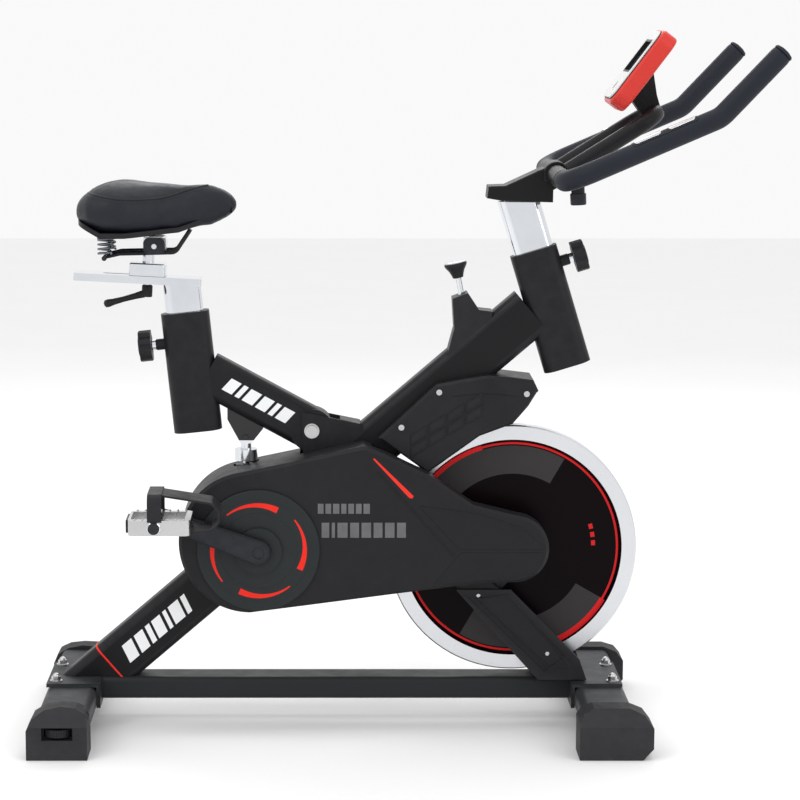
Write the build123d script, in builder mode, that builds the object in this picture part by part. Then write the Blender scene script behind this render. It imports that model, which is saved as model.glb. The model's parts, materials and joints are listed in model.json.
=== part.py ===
from build123d import *
import os
from math import cos, radians, sin, tan

os.makedirs("parts", exist_ok=True)

# Indoor spin bike. Millimetres, +X forwards, +Y to the rider's left, +Z up.
# The origin is on the floor, under the middle of the bike. "Right" is the drive side, at -Y.

# ---- driving dimensions -------------------------------------------------------------------
CRANK_X, CRANK_Z = -221, 298
WHEEL_X, WHEEL_Z, WHEEL_R = 185, 286, 200
MAIN_ANGLE = 40.6
MAIN_DEPTH, MAIN_WIDTH, MAIN_CORNER = 80, 48, 14
HEAD_TOP = Vector(214, 0, 765.5)
HEAD_LEAN, HEAD_DEPTH, HEAD_WIDTH, HEAD_LENGTH = 17, 76, 46, 194
SLEEVE_TOP = Vector(-339, 0, 667)
SLEEVE_LEAN, SLEEVE_DEPTH, SLEEVE_WIDTH, SLEEVE_LENGTH = 6, 77, 46, 192
PIVOT = Vector(-137, 0, 478.5)
BEAM_ANGLE, BEAM_DEPTH, BEAM_WIDTH = 28.5, 69, 40
POST_WIDTH, HANDLE_POST_DEPTH, SEAT_POST_DEPTH = 30, 65, 60
LEG_FOOT, LEG_TOP = Vector(276, 36, 70), Vector(-64, 36, 432)
LEG_WIDTH, LEG_DEPTH = 24, 50
BASE_LOW, BASE_HIGH, BASE_WIDTH = 40, 76, 60
STABILIZER_X = {"rear": -522, "front": 324}
STABILIZER_WIDTH, STABILIZER_LOW, STABILIZER_HIGH = 80, 30, 70
STABILIZER_HALF, FOOT_HALF, FOOT_INNER = 196, 240, 176
BOLT_XS, BOLT_YS = (-548, 346), (-52, 52)
CRANK_LENGTH, CRANK_RISE = 168, 20.5
CRANK_AXLE_R, BRACKET_R, CRANK_BEARING_R = 10, 25, 21
CRANK_PULLEY_R, WHEEL_PULLEY_R, BELT_THICK = 88, 26, 3
BELT_Y, BELT_WIDTH = -64, 14
COVER_OUTER_Y, COVER_INNER_Y, COVER_LEFT_Y = -88, -50, 30
HANDLE_Y, HANDLE_R = 210, 16
BAR_X, BAR_Z, BAR_HALF = 247.5, 885.4, 150
WALL, SHELL = 2, 3
RUNNING, GAP = 0.05, 0.3


# ---- shared shapes ------------------------------------------------------------------------
def save(piece, name):
    """Labels a finished piece and writes its STEP file."""
    piece.part.label = name
    export_step(piece.part, f"parts/{name}.step")


def side(y):
    """The plane at Y = y seen from the right: local x is +X, local y is +Z, normal is -Y."""
    return Plane.XZ.offset(-y)


def heading(angle):
    """Unit vector in the XZ plane, angle degrees above +X."""
    return Vector(cos(radians(angle)), 0, sin(radians(angle)))


def bar(start, end, width, depth, corner):
    """Straight stock with a rounded rectangular section, width across Y."""
    with BuildPart(mode=Mode.PRIVATE) as stock:
        with BuildSketch(Plane(origin=start, x_dir=(0, 1, 0), z_dir=end - start)):
            RectangleRounded(width, depth, corner)
        extrude(amount=(end - start).length)
    return stock.part


def rod(start, end, radius):
    """Straight round stock between two points."""
    start, end = Vector(start), Vector(end)
    with BuildPart(mode=Mode.PRIVATE) as stock:
        with BuildSketch(Plane(origin=start, z_dir=end - start)):
            Circle(radius)
        extrude(amount=(end - start).length)
    return stock.part


def cross_rod(x, z, radius, y_high, y_low):
    """Round stock along Y."""
    return rod((x, y_high, z), (x, y_low, z), radius)


def slab(outline, y_high, y_low):
    """A polygon given as (x, z) corners, between two values of Y."""
    with BuildPart(mode=Mode.PRIVATE) as stock:
        with BuildSketch(side(y_high)):
            with BuildLine():
                Polyline(*outline, close=True)
            make_face()
        extrude(amount=y_high - y_low)
    return stock.part


def block(low, high):
    """A box between two corners."""
    with BuildPart(mode=Mode.PRIVATE) as stock:
        with BuildSketch(Plane.XY.offset(low[2])):
            with Locations(((low[0] + high[0]) / 2, (low[1] + high[1]) / 2)):
                Rectangle(high[0] - low[0], high[1] - low[1])
        extrude(amount=high[2] - low[2])
    return stock.part


def cut(piece, *tools):
    """The piece with each tool's volume taken away."""
    with BuildPart(mode=Mode.PRIVATE) as result:
        add(piece)
        for tool in tools:
            add(tool, mode=Mode.SUBTRACT)
    return result.part


def fuse(*pieces):
    """The pieces as one part, pieces that touch becoming one solid."""
    with BuildPart(mode=Mode.PRIVATE) as result:
        for piece in pieces:
            add(piece)
    return result.part


def common(first, second):
    """The volume that two pieces share."""
    with BuildPart(mode=Mode.PRIVATE) as result:
        add(first)
        add(second, mode=Mode.INTERSECT)
    return result.part


def flip(piece):
    """The piece mirrored to the other side of the bike."""
    with BuildPart(mode=Mode.PRIVATE) as result:
        mirror(piece, about=Plane.XZ)
    return result.part


# ---- axes and envelopes of the frame ------------------------------------------------------
main_way = heading(MAIN_ANGLE)
crank = Vector(CRANK_X, 0, CRANK_Z)
wheel = Vector(WHEEL_X, 0, WHEEL_Z)
main_outer = bar(crank - main_way * 440, crank + main_way * 570, MAIN_WIDTH, MAIN_DEPTH, MAIN_CORNER)
main_bore = bar(
    crank - main_way * 440, crank + main_way * 570,
    MAIN_WIDTH - 2 * WALL, MAIN_DEPTH - 2 * WALL, MAIN_CORNER - WALL,
)
main_room = bar(
    crank - main_way * 440, crank + main_way * 570, MAIN_WIDTH + 1, MAIN_DEPTH + 1, MAIN_CORNER + 0.5
)

head_up = heading(90 + HEAD_LEAN)
head_outer = bar(HEAD_TOP - head_up * HEAD_LENGTH, HEAD_TOP, HEAD_WIDTH, HEAD_DEPTH, 20)
head_bore = bar(
    HEAD_TOP - head_up * (HEAD_LENGTH - 6), HEAD_TOP + head_up,
    HEAD_WIDTH - 2 * WALL, HEAD_DEPTH - 2 * WALL, 20 - WALL,
)
sleeve_up = heading(90 + SLEEVE_LEAN)
sleeve_outer = bar(SLEEVE_TOP - sleeve_up * SLEEVE_LENGTH, SLEEVE_TOP, SLEEVE_WIDTH, SLEEVE_DEPTH, 20)
sleeve_bore = bar(
    SLEEVE_TOP - sleeve_up * (SLEEVE_LENGTH - 6), SLEEVE_TOP + sleeve_up,
    SLEEVE_WIDTH - 2 * WALL, SLEEVE_DEPTH - 2 * WALL, 20 - WALL,
)

# The brake works along a radius of the flywheel, through the main tube.
brake_out = heading(90 + 11.6)


def on_brake(distance):
    """The point on the brake's axis this far from the flywheel's centre."""
    return wheel + brake_out * distance


brake_passage = rod(on_brake(240), on_brake(440), 9)

# Spring knobs: one on the front of the head tube, one on the back of the seat sleeve.
head_knob_at = HEAD_TOP - head_up * 30
head_knob_way = heading(HEAD_LEAN)
sleeve_knob_at = SLEEVE_TOP - sleeve_up * 48
sleeve_knob_way = heading(180 + SLEEVE_LEAN)
KNOB_BUSH_R, KNOB_BUSH_LENGTH, PIN_R = 9, 12, 4

def knob_bush(at, way, half_depth, post_half):
    """The threaded boss that a spring knob's pin slides in, welded into the tube's wall."""
    start, end = at + way * (post_half + 1.5), at + way * (half_depth + KNOB_BUSH_LENGTH)
    return cut(rod(start, end, KNOB_BUSH_R), rod(start - way, end + way, PIN_R + RUNNING))


# ---- main frame ---------------------------------------------------------------------------
with BuildPart() as main_tube:
    add(main_outer)
    add(main_bore, mode=Mode.SUBTRACT)
    split(bisect_by=Plane.XY.offset(BASE_HIGH), keep=Keep.TOP)
    for tool in (head_outer, brake_passage):
        add(tool, mode=Mode.SUBTRACT)
    # The crank's bearing shell is welded through the tube.
    add(cross_rod(CRANK_X, CRANK_Z, BRACKET_R, 38, -38))
    add(cross_rod(CRANK_X, CRANK_Z, CRANK_BEARING_R - 2, 39, -39), mode=Mode.SUBTRACT)
    add(cross_rod(CRANK_X, CRANK_Z, CRANK_BEARING_R, 39, 24), mode=Mode.SUBTRACT)
    add(cross_rod(CRANK_X, CRANK_Z, CRANK_BEARING_R, -24, -39), mode=Mode.SUBTRACT)
save(main_tube, "main_tube")

head_bush_hole = rod(head_knob_at, head_knob_at + head_knob_way * 80, KNOB_BUSH_R)
with BuildPart() as head_tube:
    add(head_outer)
    for tool in (head_bore, head_bush_hole):
        add(tool, mode=Mode.SUBTRACT)
    add(knob_bush(head_knob_at, head_knob_way, HEAD_DEPTH / 2, HANDLE_POST_DEPTH / 2))
save(head_tube, "head_tube")


def liner(top, up, length, width, depth, post_depth):
    """A plastic bush that fills a tube's mouth and guides the flat-oval post inside it."""
    outer = bar(top - up * length, top, width - 2 * WALL, depth - 2 * WALL, 20 - WALL)
    with BuildPart(mode=Mode.PRIVATE) as bush:
        add(outer)
        add(
            bar(
                top - up * (length + 1), top + up,
                POST_WIDTH + 2 * RUNNING, post_depth + 2 * RUNNING, 14 + RUNNING,
            ),
            mode=Mode.SUBTRACT,
        )
    return bush


with BuildPart() as head_sleeve:
    add(liner(HEAD_TOP, head_up, 110, HEAD_WIDTH, HEAD_DEPTH, HANDLE_POST_DEPTH).part)
    add(head_bush_hole, mode=Mode.SUBTRACT)
save(head_sleeve, "head_sleeve")

with BuildPart() as base_tube:
    with BuildSketch(Plane.YZ.offset(-476)):
        with Locations((0, (BASE_LOW + BASE_HIGH) / 2)):
            RectangleRounded(BASE_WIDTH, BASE_HIGH - BASE_LOW, 8)
            RectangleRounded(
                BASE_WIDTH - 2 * WALL, BASE_HIGH - BASE_LOW - 2 * WALL, 8 - WALL, mode=Mode.SUBTRACT
            )
    extrude(amount=476 + 278)
    # Saddle plates at its ends lie over the stabilizers and turn down against their inner faces.
    for low_x, high_x in ((-562, -482), (284, 360)):
        add(block((low_x, -70, STABILIZER_HIGH), (high_x, 70, BASE_HIGH)))
    for low_x in (-482, 278):
        add(block((low_x, -70, STABILIZER_LOW + 6), (low_x + 6, 70, BASE_HIGH)))
    for x in BOLT_XS:
        for y in BOLT_YS:
            add(rod((x, y, 60), (x, y, 80), 4.5), mode=Mode.SUBTRACT)
save(base_tube, "base_tube")

with BuildPart() as stabilizers:
    for x in STABILIZER_X.values():
        middle = (STABILIZER_LOW + STABILIZER_HIGH) / 2
        with BuildSketch(side(STABILIZER_HALF)):
            with Locations((x, middle)):
                RectangleRounded(STABILIZER_WIDTH, STABILIZER_HIGH - STABILIZER_LOW, 12)
                RectangleRounded(
                    STABILIZER_WIDTH - 2 * WALL, STABILIZER_HIGH - STABILIZER_LOW - 2 * WALL,
                    12 - WALL, mode=Mode.SUBTRACT,
                )
        extrude(amount=2 * STABILIZER_HALF)
    for x in BOLT_XS:
        for y in BOLT_YS:
            add(rod((x, y, 60), (x, y, 80), 4.5), mode=Mode.SUBTRACT)
save(stabilizers, "stabilizers")


def cap_bolt(x, y):
    """A carriage bolt through a plate and the tube's top wall, with washer and domed cap nut."""
    with BuildPart(mode=Mode.PRIVATE) as bolt:
        with BuildSketch(Plane.XY.offset(62)):
            with Locations((x, y)):
                Circle(4.4)
        extrude(amount=24)
        with BuildSketch(Plane.XY.offset(BASE_HIGH)):
            with Locations((x, y)):
                Circle(10)
        extrude(amount=1.6)
        with BuildSketch(Plane.XY.offset(BASE_HIGH + 1.6)):
            with Locations((x, y)):
                RegularPolygon(7.4, 6)
        extrude(amount=6.4)
        with Locations((x, y, BASE_HIGH + 8)):
            Sphere(5.6)
    return bolt.part


with BuildPart() as stabilizer_bolts:
    for x in BOLT_XS:
        for y in BOLT_YS:
            add(cap_bolt(x, y))
save(stabilizer_bolts, "stabilizer_bolts")

# Foot caps: an arched side outline crossed with an outline that bevels the outer end.
REAR_FOOT = [(-576, 0), (-576, 46), (-568, 62), (-550, 73), (-526, 77), (-502, 75),
             (-487, 68), (-482, 58), (-482, 0)]
FRONT_FOOT = [(276, 0), (276, 58), (284, 68), (300, 75), (356, 75), (378, 66), (390, 50),
              (390, 18), (374, 0)]
LEVELER_X, LEVELER_Y, LEVELER_R, LEVELER_LOW, LEVELER_HIGH = -528, -219.5, 20, 35, 47


def foot(outline):
    """A right-hand foot cap with a socket for the stabilizer tube."""
    end_view = [(-FOOT_INNER, 0), (-FOOT_HALF, 0), (-FOOT_HALF, 52), (-214, 74), (-205, 80),
                (-FOOT_INNER, 80)]
    low_x, high_x = min(x for x, _ in outline), max(x for x, _ in outline)
    with BuildPart(mode=Mode.PRIVATE) as end_stock:
        with BuildSketch(Plane.YZ.offset(low_x - 1)):
            with BuildLine():
                Polyline(*end_view, close=True)
            make_face()
        extrude(amount=high_x - low_x + 2)
    return common(slab(outline, -FOOT_INNER, -FOOT_HALF), end_stock.part)


socket_room = {}
for end, x in STABILIZER_X.items():
    with BuildPart(mode=Mode.PRIVATE) as room:
        with BuildSketch(side(STABILIZER_HALF + 0.5)):
            with Locations((x, (STABILIZER_LOW + STABILIZER_HIGH) / 2)):
                RectangleRounded(STABILIZER_WIDTH + 0.4, STABILIZER_HIGH - STABILIZER_LOW + 0.4, 12.2)
        extrude(amount=2 * STABILIZER_HALF + 1)
    socket_room[end] = room.part

leveler_room = fuse(
    rod((LEVELER_X, LEVELER_Y, LEVELER_LOW - 2), (LEVELER_X, LEVELER_Y, LEVELER_HIGH + 2), LEVELER_R + 2),
    block((LEVELER_X - 24, -FOOT_HALF - 1, LEVELER_LOW - 4), (LEVELER_X + 24, -225, LEVELER_HIGH + 4)),
)
leveler_pin = rod((LEVELER_X, LEVELER_Y, LEVELER_LOW - 8), (LEVELER_X, LEVELER_Y, LEVELER_HIGH + 8), 4)
rear_right_foot = fuse(cut(foot(REAR_FOOT), socket_room["rear"], leveler_room), leveler_pin)
with BuildPart() as rear_caps:
    add(rear_right_foot)
    mirror(about=Plane.XZ)
save(rear_caps, "rear_caps")

with BuildPart() as front_caps:
    add(cut(foot(FRONT_FOOT), socket_room["front"]))
    mirror(about=Plane.XZ)
save(front_caps, "front_caps")

with BuildPart() as leveler_right:
    with BuildSketch(Plane.XY.offset(LEVELER_LOW)):
        with Locations((LEVELER_X, LEVELER_Y)):
            Circle(LEVELER_R)
            Circle(4 + RUNNING, mode=Mode.SUBTRACT)
    extrude(amount=LEVELER_HIGH - LEVELER_LOW)
    with BuildSketch(Plane.XY.offset(LEVELER_LOW)):
        with Locations((LEVELER_X, LEVELER_Y)):
            with PolarLocations(LEVELER_R, 36):
                Circle(0.9)
    extrude(amount=LEVELER_HIGH - LEVELER_LOW, mode=Mode.SUBTRACT)
save(leveler_right, "leveler_right")

with BuildPart() as leveler_left:
    mirror(leveler_right.part, about=Plane.XZ)
save(leveler_left, "leveler_left")

# ---- fork: two legs with plates that carry the flywheel's bearings -------------------------
BEARING_R, BEARING_WIDTH, AXLE_R = 16, 10, 7.5
leg_way = (LEG_TOP - LEG_FOOT).normalized()
leg_left = bar(LEG_FOOT - leg_way * 60, LEG_TOP, LEG_WIDTH, LEG_DEPTH, 5)
leg_left_bore = bar(
    LEG_FOOT - leg_way * 61, LEG_TOP - leg_way * WALL, LEG_WIDTH - 2 * WALL, LEG_DEPTH - 2 * WALL, 5 - WALL
)
leg_left_room = bar(LEG_FOOT - leg_way * 60, LEG_TOP + leg_way * 2, LEG_WIDTH + 2, LEG_DEPTH + 2, 5)

with BuildPart(mode=Mode.PRIVATE) as dropout:
    with BuildSketch(side(41)):
        with Locations((WHEEL_X, WHEEL_Z)):
            Circle(26)
        with Locations((92, 276)):
            Circle(20)
        with Locations((140, 224)):
            Circle(20)
        make_hull()
        with Locations((WHEEL_X, WHEEL_Z)):
            Circle(BEARING_R, mode=Mode.SUBTRACT)
    extrude(amount=BEARING_WIDTH)

with BuildPart() as fork_legs:
    add(leg_left)
    add(leg_left_bore, mode=Mode.SUBTRACT)
    add(dropout.part)
    split(bisect_by=Plane.XY.offset(BASE_HIGH), keep=Keep.TOP)
    mirror(about=Plane.XZ)
save(fork_legs, "fork_legs")

leg_cover_outline = [(93, 226), (181, 226), (292, 112), (304, 78), (226, 78)]
with BuildPart() as fork_covers:
    add(slab(leg_cover_outline, 53, 48.1))
    add(slab([(112, 214), (176, 214), (270, 118), (236, 92)], 54, 51.5), mode=Mode.SUBTRACT)
    mirror(about=Plane.XZ)
save(fork_covers, "fork_covers")


def bearing(y_high, y_low, x, z, outer, inner):
    """A sealed ball bearing, modelled as one ring."""
    with BuildPart(mode=Mode.PRIVATE) as ring:
        with BuildSketch(side(y_high)):
            with Locations((x, z)):
                Circle(outer)
                Circle(inner, mode=Mode.SUBTRACT)
        extrude(amount=y_high - y_low)
    return ring.part


with BuildPart() as ball_bearings:
    add(bearing(41, 31, WHEEL_X, WHEEL_Z, BEARING_R, AXLE_R + RUNNING))
    add(bearing(36, 24, CRANK_X, CRANK_Z, CRANK_BEARING_R, CRANK_AXLE_R + RUNNING))
    mirror(about=Plane.XZ)
save(ball_bearings, "ball_bearings")

# ---- flywheel ------------------------------------------------------------------------------
RIM_HALF, RIM_INNER = 13, 172
with BuildPart() as flywheel:
    with BuildSketch(Plane(origin=wheel, x_dir=(1, 0, 0), z_dir=(0, 0, 1))):
        with BuildLine():
            Polyline(
                (AXLE_R, -20), (32, -20), (32, -6), (RIM_INNER, -6), (RIM_INNER + 4, -RIM_HALF),
                (WHEEL_R - 2, -RIM_HALF), (WHEEL_R, -RIM_HALF + 2), (WHEEL_R, RIM_HALF - 2),
                (WHEEL_R - 2, RIM_HALF), (RIM_INNER + 4, RIM_HALF), (RIM_INNER, 6), (32, 6),
                (32, 20), (AXLE_R, 20), close=True,
            )
        make_face()
    revolve(axis=Axis(wheel, (0, 1, 0)), revolution_arc=360)
save(flywheel, "flywheel")

with BuildPart() as flywheel_axle:
    add(cross_rod(WHEEL_X, WHEEL_Z, AXLE_R, 52, -78))
    add(cross_rod(WHEEL_X, WHEEL_Z, 11, 30.5, 20))
    add(cross_rod(WHEEL_X, WHEEL_Z, 11, -20, -30.5))
    add(cross_rod(WHEEL_X, WHEEL_Z, 12, 50, 41.5))
    add(cross_rod(WHEEL_X, WHEEL_Z, 11, -41.5, -50))
save(flywheel_axle, "flywheel_axle")


def pulley(x, z, radius, bore, hub):
    """A belt pulley with a flange each side of the belt."""
    low, high = BELT_Y - BELT_WIDTH / 2 - 1, BELT_Y + BELT_WIDTH / 2 + 1
    with BuildPart(mode=Mode.PRIVATE) as wheel_part:
        add(cross_rod(x, z, radius, high, low))
        add(cross_rod(x, z, radius + BELT_THICK + 2, low, low - 2))
        add(cross_rod(x, z, radius + BELT_THICK + 2, high + 2, high))
        if radius > 60:
            add(cross_rod(x, z, radius - 12, high + 3, high - 5), mode=Mode.SUBTRACT)
            add(cross_rod(x, z, radius - 12, low + 5, low - 3), mode=Mode.SUBTRACT)
            add(cross_rod(x, z, hub, high, low))
        add(cross_rod(x, z, bore, high + 4, low - 4), mode=Mode.SUBTRACT)
    return wheel_part


flywheel_pulley = pulley(WHEEL_X, WHEEL_Z, WHEEL_PULLEY_R, AXLE_R, 16)
save(flywheel_pulley, "flywheel_pulley")
crank_pulley = pulley(CRANK_X, CRANK_Z, CRANK_PULLEY_R, CRANK_AXLE_R, 24)
save(crank_pulley, "crank_pulley")


def belt_loop(grow):
    """A slab whose edge runs round both pulleys, this far off their rims."""
    with BuildPart(mode=Mode.PRIVATE) as loop:
        with BuildSketch(side(BELT_Y + BELT_WIDTH / 2)):
            with Locations((CRANK_X, CRANK_Z)):
                Circle(CRANK_PULLEY_R + grow)
            with Locations((WHEEL_X, WHEEL_Z)):
                Circle(WHEEL_PULLEY_R + grow)
            make_hull()
        extrude(amount=BELT_WIDTH)
    return loop.part


belt_outside, belt_inside = belt_loop(GAP + BELT_THICK), belt_loop(GAP)
with BuildPart() as belt:
    add(belt_outside)
    add(belt_inside, mode=Mode.SUBTRACT)
save(belt, "belt")

# ---- crank set and pedals ------------------------------------------------------------------
ARM_INNER, ARM_OUTER, DISC_OUTER, DISC_R = 98, 112, 93, 97
arm_way = heading(180 - CRANK_RISE)
pedal_at = {"right": crank + arm_way * CRANK_LENGTH, "left": crank - arm_way * CRANK_LENGTH}

with BuildPart() as crank_axle:
    add(cross_rod(CRANK_X, CRANK_Z, CRANK_AXLE_R, ARM_OUTER - 2, -ARM_OUTER + 2))
save(crank_axle, "crank_axle")


def crank_arm(end, y_high, y_low):
    """A tapered arm from the crank axle to the pedal spindle."""
    with BuildPart(mode=Mode.PRIVATE) as arm:
        with BuildSketch(side(y_high)):
            with Locations((CRANK_X, CRANK_Z)):
                Circle(20)
            with Locations((end.X, end.Z)):
                Circle(14)
            make_hull()
        extrude(amount=y_high - y_low)
        fillet(arm.faces().filter_by(Axis.Y).edges(), 3)
        add(cross_rod(CRANK_X, CRANK_Z, CRANK_AXLE_R, y_high + 1, y_low - 1), mode=Mode.SUBTRACT)
        add(cross_rod(end.X, end.Z, 7, y_high + 1, y_low - 1), mode=Mode.SUBTRACT)
    return arm


crank_right = crank_arm(pedal_at["right"], -ARM_INNER, -ARM_OUTER)
save(crank_right, "crank_right")
crank_left = crank_arm(pedal_at["left"], ARM_OUTER, ARM_INNER)
save(crank_left, "crank_left")

with BuildPart() as crank_disc:
    add(cross_rod(CRANK_X, CRANK_Z, DISC_R, -DISC_OUTER + 4, -DISC_OUTER))
    add(cross_rod(CRANK_X, CRANK_Z, 37, -DISC_OUTER, -ARM_INNER))
    add(cross_rod(CRANK_X, CRANK_Z, CRANK_AXLE_R, -80, -100), mode=Mode.SUBTRACT)
    fillet(crank_disc.edges().filter_by(GeomType.CIRCLE).sort_by(SortBy.RADIUS)[-1], 2)
save(crank_disc, "crank_disc")

SPINDLE_R, PEDAL_INNER, PEDAL_OUTER = 6, 122, 206
with BuildPart() as pedal_spindles:
    for at, sign in ((pedal_at["right"], -1), (pedal_at["left"], 1)):
        add(rod((at.X, sign * ARM_INNER, at.Z), (at.X, sign * ARM_OUTER, at.Z), 7))
        add(rod((at.X, sign * ARM_OUTER, at.Z), (at.X, sign * (PEDAL_INNER - 2), at.Z), 9))
        add(rod((at.X, sign * (PEDAL_INNER - 2), at.Z), (at.X, sign * (PEDAL_OUTER + 2), at.Z), SPINDLE_R))
        add(rod((at.X, sign * (PEDAL_OUTER + 2), at.Z), (at.X, sign * (PEDAL_OUTER + 6), at.Z), 9))
save(pedal_spindles, "pedal_spindles")


def pedal_body(at):
    """A platform pedal: a barrel on the spindle inside an open frame."""
    with BuildPart(mode=Mode.PRIVATE) as body:
        with BuildSketch(Plane.XY.offset(at.Z - 12)):
            with Locations((at.X + 8, -(PEDAL_INNER + PEDAL_OUTER) / 2)):
                RectangleRounded(96, PEDAL_OUTER - PEDAL_INNER, 10)
            for x in (at.X - 23, at.X + 30):
                with Locations((x, -(PEDAL_INNER + PEDAL_OUTER) / 2)):
                    Rectangle(26 if x < at.X else 34, 60, mode=Mode.SUBTRACT)
        extrude(amount=24)
        add(rod((at.X, -PEDAL_INNER, at.Z), (at.X, -PEDAL_OUTER, at.Z), 12))
        add(
            rod((at.X, -PEDAL_INNER + 1, at.Z), (at.X, -PEDAL_OUTER - 1, at.Z), SPINDLE_R + RUNNING),
            mode=Mode.SUBTRACT,
        )
    return body


def toe_cage(at):
    """A toe cage in front of the pedal with a strap that goes over the foot."""
    nose = [(56, -9), (88, -6), (99, 6), (99, 24), (88, 36), (0, 50)]
    with BuildPart(mode=Mode.PRIVATE) as cage:
        with BuildSketch(side(-(PEDAL_INNER + 12))):
            with BuildLine():
                FilletPolyline(*[(at.X + x, at.Z + z) for x, z in nose], radius=7)
            trace(line_width=3)
        extrude(amount=PEDAL_OUTER - PEDAL_INNER - 24)
        with BuildSketch(Plane.YZ.offset(at.X - 10)):
            with Locations((-(PEDAL_INNER + PEDAL_OUTER) / 2, at.Z + 19)):
                RectangleRounded(PEDAL_OUTER - PEDAL_INNER + 6, 66, 14)
                RectangleRounded(PEDAL_OUTER - PEDAL_INNER, 60, 11, mode=Mode.SUBTRACT)
        extrude(amount=22)
        add(
            block(
                (at.X - 20, -PEDAL_OUTER - 10, at.Z - 30), (at.X + 20, -PEDAL_INNER + 10, at.Z + 9.5)
            ),
            mode=Mode.SUBTRACT,
        )
    return cage.part


right_pedal = pedal_body(pedal_at["right"])
save(right_pedal, "pedal_right")
with BuildPart() as cage_right:
    add(toe_cage(pedal_at["right"]))
    add(right_pedal.part, mode=Mode.SUBTRACT)
save(cage_right, "cage_right")
left_pedal = pedal_body(pedal_at["left"])
with BuildPart() as pedal_left:
    mirror(left_pedal.part, about=Plane.XZ)
save(pedal_left, "pedal_left")
with BuildPart() as cage_left:
    add(flip(cut(toe_cage(pedal_at["left"]), left_pedal.part)))
save(cage_left, "cage_left")

# ---- covers --------------------------------------------------------------------------------
bracket_outline = [(-153, 509), (-60, 490), (-50, 470), (-90, 440), (-150, 395)]
leg_rooms = fuse(leg_left_room, flip(leg_left_room))
DAMPER_X, DAMPER_PIN_Z = -242.5, 466
damper_room = rod((DAMPER_X, 0, 330), (DAMPER_X, 0, 480), 21)
bracket_room = slab([(-156, 512), (-50, 492), (-40, 470), (-90, 430), (-156, 390)], 25, -25)


def cover_outline(inset):
    """The belt cover's closed outline, inset by this much: a lobe round the crank, a peak, a nose."""
    with BuildSketch(Plane.XY, mode=Mode.PRIVATE) as face:
        with BuildLine():
            top = Polyline(
                (-250, 421.6), (-155.6, 441.6), (-92.7, 456), (-55, 464), (-21.9, 451.2),
                (47.5, 417.6), (118.8, 369.5), (190, 352),
            )
            nose = ThreePointArc(top @ 1, (238.6, 300.3), (181.8, 245.3))
            under = Polyline(nose @ 1, (129.5, 243.7), (2.7, 227.4), (-156, 206.3), (-235, 196))
            ThreePointArc(under @ 1, (-347, 300), top @ 0)
        make_face()
        fillet(face.vertices(), 12)
        if inset:
            offset(amount=-inset)
    return face.sketch


def cover_stock(inset, y_high, y_low):
    """The cover's outline extruded between two values of Y."""
    outline = cover_outline(inset)
    with BuildPart(mode=Mode.PRIVATE) as stock:
        with BuildSketch(side(y_high)):
            add(outline)
        extrude(amount=y_high - y_low)
    return stock.part


right_skin = cover_stock(0, COVER_INNER_Y, COVER_OUTER_Y)
right_hollow = cover_stock(SHELL, COVER_INNER_Y + 1, COVER_OUTER_Y + SHELL)
with BuildPart() as belt_cover_right:
    add(right_skin)
    chamfer(belt_cover_right.faces().sort_by(Axis.Y)[0].edges(), 5)
    add(right_hollow, mode=Mode.SUBTRACT)
    add(cross_rod(CRANK_X, CRANK_Z, 14, -80, -95), mode=Mode.SUBTRACT)
save(belt_cover_right, "belt_cover_right")

left_limit = block((-400, -60, 150), (-42, 60, 520))
left_hollow_limit = block((-400, -60, 150), (-42 - SHELL, 60, 520))
left_skin = common(cover_stock(0, COVER_LEFT_Y, COVER_INNER_Y), left_limit)
left_hollow = common(cover_stock(SHELL, COVER_LEFT_Y - SHELL, COVER_INNER_Y - 1), left_hollow_limit)
with BuildPart() as belt_cover_left:
    add(left_skin)
    add(left_hollow, mode=Mode.SUBTRACT)
    for tool in (main_room, leg_rooms, damper_room, bracket_room):
        add(tool, mode=Mode.SUBTRACT)
    add(cross_rod(CRANK_X, CRANK_Z, 28, 60, 20), mode=Mode.SUBTRACT)
save(belt_cover_left, "belt_cover_left")

FENDER_HALF = 46
fender_edge = [(-31.5, 469.8), (60.4, 555.8), (102, 564), (141.2, 570.2), (172, 568), (214, 563),
               (222, 546), (206.6, 520.6), (182.2, 492.2), (129.5, 472.5), (47.4, 412.9)]
fender_inside = [(-20, 462), (62, 549), (102, 560), (141.2, 566.2), (172, 564), (211, 559),
                 (222, 540), (260, 500), (180, 440), (60, 380)]
with BuildPart() as fender:
    add(slab(fender_edge, FENDER_HALF, -FENDER_HALF))
    chamfer(fender.faces().filter_by(Axis.Y).edges(), 4)
    add(slab(fender_inside, FENDER_HALF - SHELL, -FENDER_HALF + SHELL), mode=Mode.SUBTRACT)
    add(main_room, mode=Mode.SUBTRACT)
    for x, z in ((64.6, 544), (5.1, 487.7), (203.2, 541.4)):
        add(cross_rod(x, z, 2.5, FENDER_HALF + 1, -FENDER_HALF - 1), mode=Mode.SUBTRACT)
save(fender, "fender")


def cover_screw(x, z, face_y):
    """A pan-head screw that holds a cover, its head on the cover's outside."""
    out = -1 if face_y < 0 else 1
    with BuildPart(mode=Mode.PRIVATE) as screw:
        add(rod((x, face_y, z), (x, face_y + out * 2.4, z), 4.6))
        add(rod((x, face_y - out * 2.6, z), (x, face_y, z), 2.4))
        add(block((x - 3, face_y + out * 2 - 0.5, z - 0.5), (x + 3, face_y + out * 2 + 0.5, z + 0.5)),
            mode=Mode.SUBTRACT)
    return screw.part


with BuildPart() as cover_screws:
    for y in (-FENDER_HALF, FENDER_HALF):
        for x, z in ((64.6, 544), (5.1, 487.7), (203.2, 541.4)):
            add(cover_screw(x, z, y))
save(cover_screws, "cover_screws")

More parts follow.
